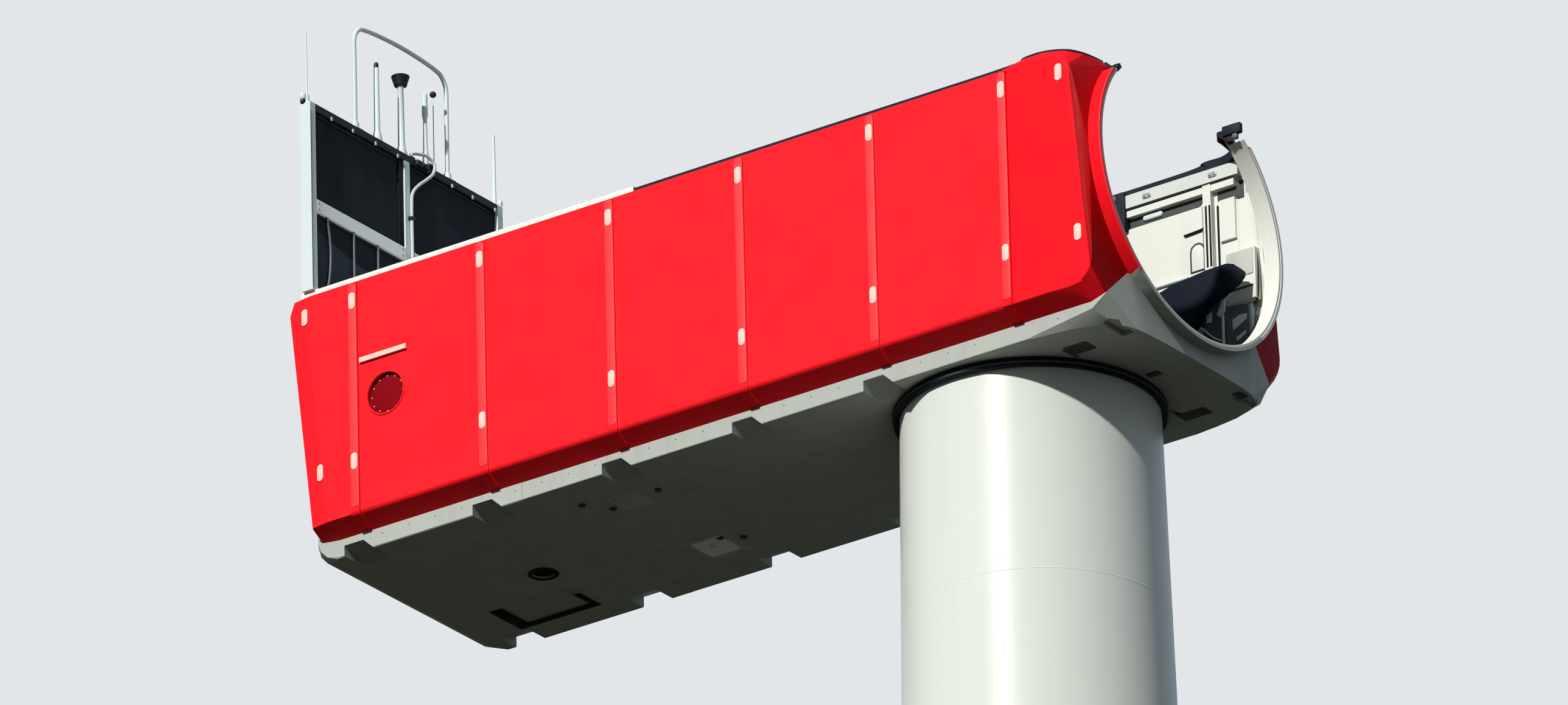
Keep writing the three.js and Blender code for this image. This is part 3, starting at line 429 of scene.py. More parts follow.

# The nose carries painted shade: a deeper red between the fold of its side and the wall behind the collar,
# where that wall faces away from the key light.
RING_TILT = math.radians(4)
RING_CENTRE = (2.55, 2.225)  # X and Z
RING_AXIS = (math.cos(RING_TILT), 0, math.sin(RING_TILT))
RING_PLACE = RING_CENTRE[0] * RING_AXIS[0] + (RING_CENTRE[1] + LIFT) * RING_AXIS[2]
COLLAR_DEPTH = 0.171
FOLD_LEAN = 0.0833
FOLD_X = 2.435  # at the underside
FOLD_AXIS = Vector((1, 0, FOLD_LEAN)).normalized()
FOLD_PLACE = (FOLD_X + FOLD_LEAN * LIFT) * FOLD_AXIS.x
NOSE_PAINTED_SHADE_BAND = ((FOLD_AXIS, FOLD_PLACE), (RING_AXIS, RING_PLACE - COLLAR_DEPTH), (164, 5, 10))

RED_TONES = [(240, 22, 34), (232, 18, 30), (190, 12, 22)]
RED = weathered("red_gelcoat", RED_TONES, 0.5, streak=0.16, sheen=0.14)
NOSE_RED_PAINTED_SHADE = weathered("nose_red_painted_shade", RED_TONES, 0.5, streak=0.16, sheen=0.05, band=NOSE_PAINTED_SHADE_BAND)
# The lighter red of the joint strips and of the collar's right rim is painted highlight.
HIGHLIGHT_RED = weathered("light_red_painted_highlight", [(250, 54, 58), (246, 46, 50), (214, 30, 36)], 0.45,
                      streak=0.16, sheen=0.3)
PORT_RED = weathered("port_dark_red", [(134, 4, 20), (112, 3, 16), (70, 4, 10)], 0.7, sheen=0.04)
GREY = weathered("grey_gelcoat", [(172, 177, 170), (162, 167, 160), (126, 128, 116)], 0.6,
                 streak=0.28, patch=0.3, sheen=0.3)
ROOF = weathered("roof_top_coat", [(226, 229, 222), (214, 217, 209), (176, 176, 165)], 0.65,
                 streak=0.3, orange=0.0012, sheen=0.3)
CREAM = weathered("cream_moulding", [(219, 221, 210), (210, 213, 202), (170, 170, 155)], 0.55,
                  streak=0.15, sheen=0.3)
WHITE = weathered("white_frame_paint", [(206, 218, 219), (198, 211, 212), (150, 158, 156)], 0.5,
                  streak=0.16, sheen=0.3)
# A brighter copy of the frame's white: on the cooler's beams it is painted light, so that their forward
# faces, which the key light hardly reaches, read bright.
BRIGHT_WHITE_AND_PAINTED_LIGHT = weathered("bright_white_and_painted_light", [(246, 249, 246), (238, 242, 240), (190, 194, 190)], 0.5,
                       streak=0.12, sheen=0.3)
TOWER = weathered("tower_paint", [(212, 216, 207), (207, 211, 202), (182, 186, 178)], 0.3,
                  streak=0.1, patch=0.3, sheen=0.16, rough_spread=0.04)
STEEL = weathered("pale_alloy", [(206, 210, 204), (190, 195, 190), (140, 144, 140)], 0.5, 0.15, streak=0.3)
BOLT_STEEL = weathered("bolt_steel", [(176, 180, 180), (150, 154, 156), (110, 106, 98)], 0.4, 0.7)
RUBBER = weathered("black_rubber", [(17, 21, 32), (24, 28, 40), (48, 50, 54)], 0.75, streak=0.2, sheen=0.3)
RAIL = weathered("black_satin", [(20, 23, 29), (28, 31, 37), (64, 66, 66)], 0.5, streak=0.25, sheen=0.35)
# Kept near black, so that the bedplate stays dark where the key light reaches it.
CASTING = weathered("near_black_navy_casting", [(8, 19, 36), (5, 14, 28), (24, 32, 44)], 0.5,
                    streak=0.3, orange=0.002, sheen=0.15)
CORE = weathered("cooler_fins", [(10, 20, 32), (16, 26, 38), (38, 44, 48)], 0.6, 0.1, streak=0.4)
CABLE = weathered("conduit", [(196, 200, 194), (180, 184, 178), (130, 128, 118)], 0.55, streak=0.2)
CAP = weathered("plug_plastic", [(254, 200, 186), (248, 190, 176), (216, 152, 142)], 0.5,
                streak=0.15, sheen=0.3)
# Dark grey for small fittings and seals, also used as painted shade in recesses, slots and hollows.
DARK = weathered("dark_grey_and_painted_shade", [(72, 76, 74), (62, 66, 66), (92, 94, 88)], 0.7, streak=0.3, sheen=0.2)
BLACK = weathered("black_gap", [(16, 18, 20), (22, 24, 26), (44, 44, 42)], 0.8, streak=0.2, sheen=0.2)
SLATE = weathered("slate_grey_paint", [(78, 90, 94), (66, 78, 84), (104, 108, 100)], 0.5, streak=0.3)
PAD = weathered("pale_grey_pad", [(186, 188, 180), (174, 176, 168), (128, 128, 116)], 0.6, sheen=0.3)
BLUE_GREY = weathered("blue_grey_panel", [(16, 26, 38), (12, 20, 32), (26, 30, 34)], 0.5, sheen=0.3)


# The CAD solids: those whose shape is right take rounded edges and their finish

SLOT_LOOKS = {  # each slot's finish, and how wide its edges are rounded
    "red_shell": (RED, 0.014), "grey_pan": (GREY, 0.01), "cream_inside": (CREAM, 0.006),
    "white_roof": (ROOF, 0.012), "white_frame": (WHITE, 0.004), "cooler_core": (CORE, 0.0),
    "black_rail": (RAIL, 0.004), "grey_cable": (CABLE, 0.0), "dark_casting": (CASTING, 0.02),
    "dark_red_port": (PORT_RED, 0.006), "bare_steel": (STEEL, 0.004), "black_seal": (RUBBER, 0.006),
    "tower_paint": (TOWER, 0.0),
}
OWN_LOOKS = {  # nodes whose finish differs from their slot's
    "nose_right": NOSE_RED_PAINTED_SHADE, "nose_left": NOSE_RED_PAINTED_SHADE, "drip_rail_right": CAP, "drip_rail_left": CAP,
    "cooler_beam_right": BRIGHT_WHITE_AND_PAINTED_LIGHT, "cooler_beam_left": BRIGHT_WHITE_AND_PAINTED_LIGHT,
}
MADE_HERE = {  # nodes that have a finer piece further down
    "tower_can_lower", "tower_can_upper", "tower_base_flange", "yaw_seal", "sensor_hoop",
    "sensor_cable", "sensor_mast_tapered", "wind_sensor_mast", "sensor_mast_thick_top", "ball_sensor",
    "rod_left", "rod_right", "cooler_core_right", "cooler_core_left", "front_ring",
    "vent_port_right", "vent_port_left",
}

for part in frame["record"]["subparts"]:
    node, slot = part["node"], part["material_slot"]
    look, edge = SLOT_LOOKS[slot]
    look = OWN_LOOKS.get(node, look)
    if node in MADE_HERE:
        NODES[node].data.materials.clear()
        NODES[node].data.materials.append(look)
    else:
        dressed(node, look, slot, edge)


# Tower section, with its seams and bolts

ON_TOWER = {"body": "tower", "at": (0, 0, 0)}
TOWER_R = 1.65  # at the nacelle's underside
TOWER_TAPER = 0.018
TOWER_WALL = 0.03
SEAM_Z, CAN_TOP = span("tower_can_upper", Z)
FLANGE_THICK = span("tower_base_flange", Z)[1]
FLANGE_DEPTH = 0.3


def tower_radius(z):
    """The outer radius at a height, which grows evenly downwards."""
    return TOWER_R + TOWER_TAPER * (LIFT - z)


def tower_can(node, z0, z1):
    """A turned shell with a tapered outer face and a wall of even thickness."""
    z = np.linspace(z0, z1, 7)
    outside = [(tower_radius(h), h) for h in z]
    inside = [(tower_radius(h) - TOWER_WALL, h) for h in z[::-1]]
    stand_in(node, [turned_ring(outside + inside, steps=192)], TOWER, "tower_paint", **ON_TOWER)


tower_can("tower_can_lower", FLANGE_THICK, SEAM_Z)
tower_can("tower_can_upper", SEAM_Z, CAN_TOP)
bead = [(tower_radius(SEAM_Z) - 0.002 + 0.004 * math.cos(a), SEAM_Z + 0.012 * math.sin(a))
        for a in angles(10)]
put("tower_weld_bead", [turned_ring(bead, steps=192)], TOWER, "tower_paint", **ON_TOWER)

foot_r = tower_radius(FLANGE_THICK)
bore_r = foot_r - FLANGE_DEPTH
bolts_r = foot_r - FLANGE_DEPTH / 2
flange = [(bore_r, 0.004), (bore_r + 0.004, 0), (foot_r - 0.006, 0), (foot_r, 0.006), (foot_r, 0.114),
          (foot_r - 0.006, FLANGE_THICK), (bore_r + 0.004, FLANGE_THICK), (bore_r, 0.116)]
stand_in("tower_base_flange", [turned_ring(flange, steps=192)], TOWER, "tower_paint", **ON_TOWER)
studs = []
for a in angles(96):
    studs += bolt((bolts_r * math.cos(a), bolts_r * math.sin(a), FLANGE_THICK), UP, 0.027, 0.03)
put("tower_flange_bolts", studs, BOLT_STEEL, "bare_steel", **ON_TOWER)

# The seal: a rubber skirt with a rounded lip, and a clamping band round it
SEAL_IN, SEAL_OUT = 1.662, span("yaw_seal", X)[1]
skirt = [(SEAL_IN, -0.1), (SEAL_IN + 0.012, -0.11), (SEAL_OUT - 0.02, -0.11), (SEAL_OUT - 0.004, -0.098),
         (SEAL_OUT - 0.014, -0.08), (SEAL_OUT - 0.014, -0.045), (SEAL_OUT, -0.03), (SEAL_OUT, 0),
         (SEAL_IN, 0)]
stand_in("yaw_seal", [turned_ring(skirt, steps=192)], RUBBER, "black_seal")
clamp = [(SEAL_OUT - 0.016, -0.076), (SEAL_OUT - 0.006, -0.076), (SEAL_OUT - 0.006, -0.05),
         (SEAL_OUT - 0.016, -0.05)]
put("seal_clamp_band", [turned_ring(clamp, steps=192)], SLATE, "bare_steel")


# Shell: plugs and strips on the joints, the rubber edge of the roof, the vent ports

PLUG_SIZE = (0.105, 0.235)
PLUG_HEIGHTS = (3.38, 1.13)
REAR_PLUGS = ((-9.78, 3.37, 2.097), (-9.57, 1.13, 2.094))  # X, Z and distance of the face
REAR_LEAN = 0.15
NOSE_PLUGS = ((2.01, 3.38, 2.098, 0.0), (2.22, 1.12, 2.086, -0.097))  # the same and the lean
STRIP_WIDTH, STRIP_FOOT, STRIP_TOP = 0.125, 0.485, 3.62
STRIP_BASE = RIB_FACE - 0.002


def plug(x, side, z, face, lean=0.0):
    """An oblong plug with a rounded rim on the side; lean is how fast the side there moves out along X."""
    across = Vector((1, side * lean, 0)).normalized() * -side
    return plate(rounded(*PLUG_SIZE, 0.05, 5), (x, side * face, z), across, UP, 0.012, 0.009)


for hand, side in SIDES:
    plugs = [plug(x, side, z, STRIP_BASE) for x in RIB_X for z in PLUG_HEIGHTS]
    plugs += [plug(x, side, z, face, REAR_LEAN) for x, z, face in REAR_PLUGS]
    plugs += [plug(x, side, z, face, lean) for x, z, face, lean in NOSE_PLUGS]
    put("shell_plugs_" + hand, plugs, CAP, "cream_inside")
    strip = rounded(STRIP_WIDTH, STRIP_TOP - STRIP_FOOT, 0.05, 5)
    strip_z = (STRIP_FOOT + STRIP_TOP) / 2
    strips = [on_side(strip, x, strip_z, side * STRIP_BASE, side, 0.007, 0.006) for x in RIB_X]
    put("joint_strips_" + hand, strips, HIGHLIGHT_RED, "red_shell")

# The rubber section is an angle: its top covers the edge and its leg hangs down inside.
EDGE_RUBBER = [(0.046, -0.016), (0.046, 0.022), (0.034, 0.032), (-0.03, 0.032), (-0.045, 0.02),
               (-0.045, -0.1), (-0.032, -0.1), (-0.032, -0.016)]
ROOF_EDGE = [(DECK_FRONT, 1.985, 3.7), (-3, 1.985, 3.7), (-1, 1.985, 3.7), (1.15, 1.985, 3.7),
             (1.45, 1.982, 3.752), (1.73, 1.982, 3.752), (1.965, 1.868, 3.752), (2.07, 1.69, 3.752),
             (2.115, 1.465, 3.752), (2.125, 1.32, 3.752)]
EDGE_END = [(2.12, 3.69), (2.26, 3.585), (2.34, 3.585), (2.34, 3.63), (2.2, 3.76), (2.12, 3.76)]
for hand, side in SIDES:
    path = smooth_path([(x, side * y, z) for x, y, z in ROOF_EDGE], 6)
    section = np.array(EDGE_RUBBER) * (-side, 1)
    corner = block((0.0, side * 1.955 - 0.075, 3.17), (0.26, side * 1.955 + 0.075, 3.7), 0.02)
    end = on_side(EDGE_END, 0, 0, side * 1.301, -side, 0.014, 0.003)
    put("roof_edge_rubber_" + hand, [carried(section, path), corner, end], RUBBER, "black_seal")

# Low strips cover the roof's joints, in line with the joint strips of the sides.
strips = []
for x in RIB_X[:5]:
    z, half = (DECK_Z, 1.96) if x < DECK_FRONT else (ROOF_Z, 1.9)
    strips.append(plate(rounded(0.14, 2 * half, 0.02, 3), (x, 0, z), (1, 0, 0), (0, 1, 0), 0.016, 0.008))
put("roof_joint_strips", strips, ROOF, "white_roof")

PORT_X, PORT_Z = middle("vent_port_left", X), middle("vent_port_left", Z) - LIFT
PORT_BACK, PORT_FACE = span("vent_port_left", Y)
PORT_R = 0.285  # of the hole that it closes
SCREWS_R = 0.245
port = [(0, PORT_BACK), (PORT_R - 0.001, PORT_BACK), (PORT_R - 0.001, PORT_FACE), (0.262, PORT_FACE),
        (0.255, PORT_FACE - 0.008), (0.235, PORT_FACE - 0.008), (0.225, PORT_FACE), (0.12, PORT_FACE + 0.006),
        (0, PORT_FACE + 0.008)]
rim = [(PORT_R - 0.006, 2.09), (PORT_R + 0.022, 2.09), (PORT_R + 0.022, 2.106), (PORT_R + 0.016, 2.112),
       (PORT_R, 2.112), (PORT_R - 0.006, 2.106)]
for hand, side in SIDES:
    out, centre = (0, side, 0), (PORT_X, 0, PORT_Z)
    stand_in("vent_port_" + hand, [turned(port, centre, out, 64)], PORT_RED, "dark_red_port")
    put("vent_port_rim_" + hand, [turned_ring(rim, centre, out, 64)], RED, "red_shell")
    screws = []
    for a in angles(12):
        x, z = PORT_X + SCREWS_R * math.cos(a), PORT_Z + SCREWS_R * math.sin(a)
        screws += bolt((x, side * (PORT_FACE - 0.008), z), out, 0.008, 0.006)
    put("vent_port_screws_" + hand, screws, BOLT_STEEL, "bare_steel")


# Front ring: the band behind the collar, the collar's rim, and what closes the ring's two ends

def ring_strip(from_angle, to_angle, section, steps):
    """A closed section of (radius, set back) pairs, carried round the ring's tilted axis from one angle
    to another. A point lies at the centre, less its set back along the axis, plus its radius across it."""
    t = np.linspace(from_angle, to_angle, steps)[:, None]
    radius, back = np.asarray(section, float).T
    up = radius * np.sin(t)
    x = RING_CENTRE[0] - back * math.cos(RING_TILT) - up * math.sin(RING_TILT)
    y = radius * np.cos(t)
    z = RING_CENTRE[1] - back * math.sin(RING_TILT) + up * math.cos(RING_TILT)
    return np.stack([x, y, z], -1).reshape(-1, 3), tube_faces(steps, len(section))


def ring_angle(z, radius):
    """How far round the ring, from level, a height lies."""
    return math.asin((z - RING_CENTRE[1]) / radius)


BAND_MIDDLE = 1.945
BAND_SECTION = [(1.9645, 0.012), (1.958, 0.005), (1.931, 0.005), (1.925, 0.012), (1.925, 0.172),
                (1.931, 0.18), (1.9645, 0.18)]
REAR_TRIM = [(1.9645, 0.176), (1.9645, 0.234), (1.94, 0.234), (1.934, 0.228), (1.934, 0.176)]
band_end = ring_angle(3.60, BAND_MIDDLE)
band_span = (band_end, -math.pi - band_end)
stand_in("front_ring", [ring_strip(*band_span, BAND_SECTION, 120)], CREAM, "cream_inside")

# The rim on the collar's front edge is cream on the left and red on the right, in the lighter red that is
# painted highlight.
RIM = [(1.962, 0.001), (1.966, -0.003), (2.006, -0.003), (2.0105, 0.001), (2.0105, 0.012), (1.962, 0.012)]
rim_top, rim_foot = ring_angle(3.525, 1.99), math.radians(-48)
put("collar_rim_left", [ring_strip(rim_top, rim_foot, RIM, 60)], CREAM, "cream_inside")
put("collar_rim_right", [ring_strip(math.pi - rim_top, math.pi - rim_foot, RIM, 60)], HIGHLIGHT_RED,
    "red_shell")
SLEEVE_RING = [(1.97, 0.0), (1.915, 0.0), (1.915, 0.19), (1.97, 0.19)]
sleeve_span = [math.pi - ring_angle(z, BAND_MIDDLE) for z in (3.54, 3.63)]
put("ring_end_sleeve", [ring_strip(*sleeve_span, SLEEVE_RING, 6)], RUBBER, "black_seal")
put("ring_rear_trim", [ring_strip(*band_span, REAR_TRIM, 120)], CREAM, "cream_inside")

# The left end has a rounded block on a grey foot, the right end a thin hook.
put("ring_end_block", [block((2.19, 1.26, 3.665), (2.47, 1.34, 3.81), 0.02)], RUBBER, "black_seal")
put("ring_end_foot", [block((2.34, 1.27, 3.6), (2.41, 1.33, 3.67), 0.008)], SLATE, "bare_steel")
hook = rod([(2.25, -1.3, 3.65), (2.3, -1.3, 3.672), (2.36, -1.3, 3.678), (2.41, -1.3, 3.67)], 0.012, 10, 4)
put("ring_end_hook", [hook], RUBBER, "black_seal")


# Inside: what hangs on the lining of the side walls, on both sides alike

def inner(outline, x, z, face, side, thick, edge=0.004):
    """A plate on the inner face of a side wall, at a distance from the middle plane."""
    return on_side(outline, x, z, side * face, -side, thick, edge)


# The dark plates in the lining's recesses are painted shade, under the deeper band above them.
RECESS_BAND = [(-0.7, 3.195), (1.2, 3.195), (1.34, 3.22), (1.39, 3.27), (1.39, 3.335), (-0.7, 3.335)]
RECESS_FRONT = [(1.6, 3.2), (1.64, 3.165), (2.0, 3.165), (2.0, 3.4), (1.9, 3.4), (1.86, 3.34), (1.6, 3.335)]
for hand, side in SIDES:
    recesses = [inner(RECESS_BAND, 0, 0, 2.009, side, 0.006), inner(RECESS_FRONT, 0, 0, 2.02, side, 0.014)]
    put("wall_recess_painted_shade_" + hand, recesses, DARK, "dark_casting")
    holds = [inner(rounded(0.3, 0.07, 0.034, 4), 0.62, 3.285, 2.003, side, 0.03, 0.012),
             block((0.65, side * 1.95 - 0.02, 2.24), (1.15, side * 1.95 + 0.02, 2.27), 0.006)]
    put("wall_handholds_" + hand, holds, WHITE, "white_frame")
    grooves = [inner(rounded(2.5, 0.022, 0.008, 2), 0.66, 3.44, 1.93, side, 0.006)]
    grooves += [inner(rounded(0.028, 0.86, 0.01, 2), x, 2.72, 1.92, side, 0.006) for x in (1.475, 1.53)]
    grooves += [inner(rounded(0.03, 1.5, 0.01, 2), 1.6, 2.4, 2.009, side, 0.01)]
    put("wall_grooves_" + hand, grooves, BLACK, "black_seal")
    grips = []
    for x in (0.59, 1.6):
        grips.append(inner(rounded(0.13, 0.07, 0.02, 3), x, 3.55, 1.91, side, 0.01))
        for dx in (-0.035, 0.035):
            grips += bolt((x + dx, side * 1.9, 3.55), (0, -side, 0), 0.016, 0.014)
    put("beam_bolts_" + hand, grips, BOLT_STEEL, "bare_steel")

# The left wall also carries a small door with a latch, the cabinet and a pierced flange below it.
DOOR = [(1.18, 2.3), (1.41, 2.3), (1.41, 2.62), (1.38, 2.67), (1.33, 2.7), (1.26, 2.7), (1.2, 2.66),
        (1.18, 2.6)]
door_middle = np.mean(DOOR, 0)
leaf = door_middle + (np.array(DOOR) - door_middle) * (0.8, 0.88) + (0.01, -0.02)
put("wall_door_seal", [inner(DOOR, 0, 0, 1.972, 1, 0.012)], DARK, "dark_casting")
put("wall_door", [inner(leaf, 0, 0, 1.961, 1, 0.016, 0.008)], CREAM, "cream_inside")
latch = rod([(1.11, 1.95, 2.845), (1.26, 1.95, 2.852), (1.39, 1.95, 2.862), (1.43, 1.95, 2.885),
             (1.44, 1.95, 2.93)], 0.014)
knob = turned([(0, 0.0), (0.03, 0.0), (0.034, 0.012), (0.03, 0.03), (0.018, 0.045), (0, 0.05)],
              (1.97, 2.01, 3.385), (0, -1, 0), 20)
put("wall_latch", [latch, knob], BLACK, "black_seal")

CABINET_FACE = span("wall_cabinet", Y)[0]
# The cabinet's two slots are dark plates: painted shade in the openings.
slots = [inner(rounded(0.24, 0.026, 0.012, 3), 2.07, 2.12, CABINET_FACE, 1, 0.005),
         inner(rounded(0.34, 0.03, 0.014, 3), 2.03, 1.83, CABINET_FACE, 1, 0.005)]
put("cabinet_slot_painted_shade", slots, DARK, "dark_casting")
lid = inner(rounded(0.4, 0.36, 0.02, 3), 2.005, 2.17, CABINET_FACE, 1, 0.012, 0.006)
put("cabinet_lid", [lid], PAD, "white_frame")
bracket = rod([(2.215, 1.93, 2.33), (2.225, 1.93, 2.1), (2.23, 1.92, 1.85), (2.22, 1.91, 1.67),
               (2.17, 1.9, 1.58), (2.1, 1.88, 1.5)], 0.014)
put("cabinet_bracket", [bracket], BLACK, "black_seal")

FLANGE = [(1.42, 1.57), (1.5, 1.25), (1.79, 0.98), (2.03, 0.95), (2.19, 1.08), (2.26, 1.22), (2.27, 1.4),
          (2.24, 1.52), (2.0, 1.56), (1.87, 1.56), (1.68, 1.82)]
WINDOWS = ([(1.94, 1.22), (2.15, 1.33), (2.16, 1.4), (2.03, 1.41), (1.93, 1.37)],
           [(2.0, 1.06), (2.13, 1.13), (2.14, 1.18), (1.98, 1.11)],
           [(1.54, 1.43), (1.62, 1.43), (1.63, 1.57), (1.54, 1.54)])
BRACKET = [(1.72, 1.49), (1.77, 1.44), (1.84, 1.51), (1.84, 1.66), (1.92, 1.71), (1.94, 1.88), (1.8, 1.83),
           (1.8, 1.67)]
put("wall_flange", [inner(FLANGE, 0, 0, 1.78, 1, 0.03)], SLATE, "dark_casting")
windows = [inner(window, 0, 0, 1.75, 1, 0.004) for window in WINDOWS]
put("wall_flange_windows", windows, CREAM, "cream_inside")
stays = [inner(BRACKET, 0, 0, 1.74, 1, 0.03), block((1.8, 1.7, 1.0), (1.83, 1.73, 1.46), 0.006),
         rod([(1.48, 1.72, 1.37), (1.66, 1.72, 1.19), (1.8, 1.72, 1.1)], 0.012)]
put("wall_flange_bracket", stays, WHITE, "white_frame")

# Bolts that hold the bedplate down on the yaw ring
BEDPLATE_TOP = span("bedplate", Z)[0] + 0.19 - LIFT
BED_BOLTS_R = 1.42
bed_bolts = []
for a in angles(60):
    bed_bolts += bolt((BED_BOLTS_R * math.cos(a), BED_BOLTS_R * math.sin(a), BEDPLATE_TOP), UP, 0.024, 0.026)
put("bedplate_bolts", bed_bolts, BOLT_STEEL, "bare_steel")


# Cooler: finned cores between the posts, with their frames, struts and feet

CORE_X = span("cooler_core_left", X)
CORE_Y = span("cooler_core_left", Y)  # from the centre post to the outer one
BAYS = ((3.79, 4.87), (5.08, 6.29))  # below and above the cross beam
FRAME_HALF, FRAME_DEEP = 0.018, 0.016


def finned(y0, y1, pitch=0.03, depth=0.012):
    """The plan of a core: both long faces run in a zigzag whose teeth are a pitch apart."""
    count = 2 * int(round((y1 - y0) / pitch)) + 1
    y = np.linspace(y0, y1, count)
    dip = depth * (np.arange(count) % 2)
    back = np.stack([CORE_X[0] + dip, y], 1)
    front = np.stack([CORE_X[1] - dip, y], 1)
    return np.vstack([front, back[::-1]])


for hand, side in SIDES:
    y0, y1 = sorted(side * y for y in CORE_Y)
    fins = plate(finned(y0, y1), (0, 0, DECK_Z), (1, 0, 0), (0, 1, 0), RAIL_FOOT - DECK_Z, 0.0)
    stand_in("cooler_core_" + hand, [fins], CORE, "cooler_core", angle=20)
    frames = []
    for low, high in BAYS:
        for x in (CORE_X[0] - 0.012, CORE_X[1] - 0.004):
            frames += [block((x, y0, z - FRAME_HALF), (x + FRAME_DEEP, y1, z + FRAME_HALF), 0.003)
                       for z in (low, high)]
            frames += [block((x, y - 0.016, low), (x + FRAME_DEEP, y + 0.016, high), 0.003)
                       for y in (y0 + 0.02, y1 - 0.02)]
    put("cooler_bay_frames_" + hand, frames, RAIL, "black_rail")

tank = block((CORE_X[1], -0.16, 5.08), (CORE_X[1] + 0.03, -0.06, 6.3), 0.008)
# The thin black line down the near post's front is painted shade, in the crease between its face and its
# flange.
crease_shade_line = block((RAIL_FACE - 0.002, -2.08, 3.78), (RAIL_FACE + 0.004, -2.072, 6.3), 0.002)
put("cooler_tank", [tank, crease_shade_line], BLACK, "black_seal")
struts = [rod([(-9.66, y, 3.78), (-9.66, y, 4.88)], 0.016) for y in (-1.17, -0.65)]
struts.append(rod([(-9.66, -1.78, 3.78), (-9.66, -1.7, 4.1), (-9.66, -1.68, 4.5), (-9.66, -1.74, 4.88)],
                  0.016))
put("cooler_struts", struts, SLATE, "black_rail")
LOW_PANEL = [(-1.95, 3.76), (-0.1, 3.76), (-0.1, 4.4), (-1.0, 4.46), (-1.95, 4.64)]  # Y and Z
low_panel = plate(LOW_PANEL, (CORE_X[1], 0, 0), (0, 1, 0), UP, 0.014)
put("cooler_low_panel", [low_panel], BLUE_GREY, "cooler_core")
BRACKETS_Y = (-1.63, -1.17, -0.68, -0.2, 0.98, 1.43, 1.92)
brackets = [block((-9.662, y - 0.018, 6.3), (-9.636, y + 0.018, 6.35)) for y in BRACKETS_Y]
put("cooler_rail_brackets", brackets, PAD, "white_frame")
FOOT_Y = (-1.985, 0, 1.985)
feet = [block((MAST_X - 0.13, y - 0.045, DECK_Z), (MAST_X + 0.13, y + 0.045, DECK_Z + 0.014), 0.004)
        for y in FOOT_Y]
put("cooler_foot_plates", feet, WHITE, "white_frame")
foot_bolts = []
for y in FOOT_Y:
    for dx in (-0.11, 0.11):
        foot_bolts += bolt((MAST_X + dx, y, DECK_Z), UP, 0.014, 0.016)
put("cooler_foot_bolts", foot_bolts, BOLT_STEEL, "bare_steel")
beam_bolts = []
for y in (-1.92, -0.12, 0.12, 1.92):
    for z in (4.93, 5.02):
        beam_bolts += bolt((RAIL_FACE, y, z), (1, 0, 0), 0.012, 0.01)
put("cooler_beam_bolts", beam_bolts, BOLT_STEEL, "bare_steel")


# Sensors, hoop and rods on the rail. Heights are above the rail.

def on_rail(y, up, ahead=0.0):
    """A place above the rail, some way ahead of its middle."""
    return (MAST_X + ahead, y, RAIL_TOP + up)


def mast(y, profile, steps=28, ahead=0.0):
    """A turned mast from (radius, height) pairs."""
    return [turned(profile, on_rail(y, 0, ahead), steps=steps)]


def mast_stand_in(node, profile, look, slot, steps=28):
    """A turned mast where a CAD node is, which stands for it."""
    stand_in(node, mast(middle(node, Y), profile, steps), look, slot)


HOOP_Y = 1.0
HOOP_HALF = [(HOOP_Y, 0.0), (HOOP_Y, 0.3), (HOOP_Y, 0.6), (HOOP_Y, 1.0), (HOOP_Y, 1.3), (0.965, 1.4),
             (0.9, 1.475), (0.8, 1.515), (0.5, 1.55), (0.0, 1.57)]
hoop = [(-y, up) for y, up in HOOP_HALF] + HOOP_HALF[-2::-1]
stand_in("sensor_hoop", [rod([on_rail(y, up) for y, up in hoop], 0.03, 16, 5)], WHITE, "white_frame")
SLEEVE = [(0.032, 0.0), (0.05, 0.0), (0.05, 0.1), (0.045, 0.115), (0.032, 0.12)]
sleeves = [turned_ring(SLEEVE, on_rail(y, 0), UP, 24) for y in (-HOOP_Y, HOOP_Y)]
sleeves += [block((MAST_X - 0.08, y - 0.08, RAIL_TOP), (MAST_X + 0.08, y + 0.08, RAIL_TOP + 0.012), 0.004)
            for y in (-HOOP_Y, HOOP_Y)]
put("hoop_sleeves", sleeves, WHITE, "white_frame")

TAPERED = [(0, 0), (0.068, 0), (0.068, 0.02), (0.052, 0.13), (0.044, 0.15), (0.04, 0.17), (0.034, 1.06),
           (0.028, 1.07), (0, 1.07)]
TIP = [(0, 1.065), (0.03, 1.065), (0.032, 1.09), (0.03, 1.13), (0.018, 1.145), (0, 1.148)]
mast_stand_in("sensor_mast_tapered", TAPERED, WHITE, "white_frame")
put("mast_tip", mast(middle("sensor_mast_tapered", Y), TIP), RAIL, "black_rail")

WIND_MAST = [(0, 0), (0.075, 0), (0.075, 0.02), (0.055, 0.12), (0.048, 0.14), (0.038, 0.98), (0.05, 1.0),
             (0, 1.0)]
CUP = [(0, 0.99), (0.05, 0.99), (0.084, 1.005), (0.096, 1.05), (0.118, 1.12), (0.122, 1.135),
       (0.112, 1.14), (0.09, 1.12), (0, 1.1)]
mast_stand_in("wind_sensor_mast", WIND_MAST, WHITE, "white_frame")
put("wind_sensor_cup", mast(middle("wind_sensor_mast", Y), CUP, 40), RAIL, "black_rail")

THICK_TOP = [(0, 0), (0.06, 0), (0.06, 0.015), (0.044, 0.03), (0.038, 0.25), (0.032, 0.27), (0.026, 0.71),
             (0.04, 0.78), (0.036, 1.07), (0.028, 1.08), (0, 1.08)]
mast_stand_in("sensor_mast_thick_top", THICK_TOP, WHITE, "white_frame")

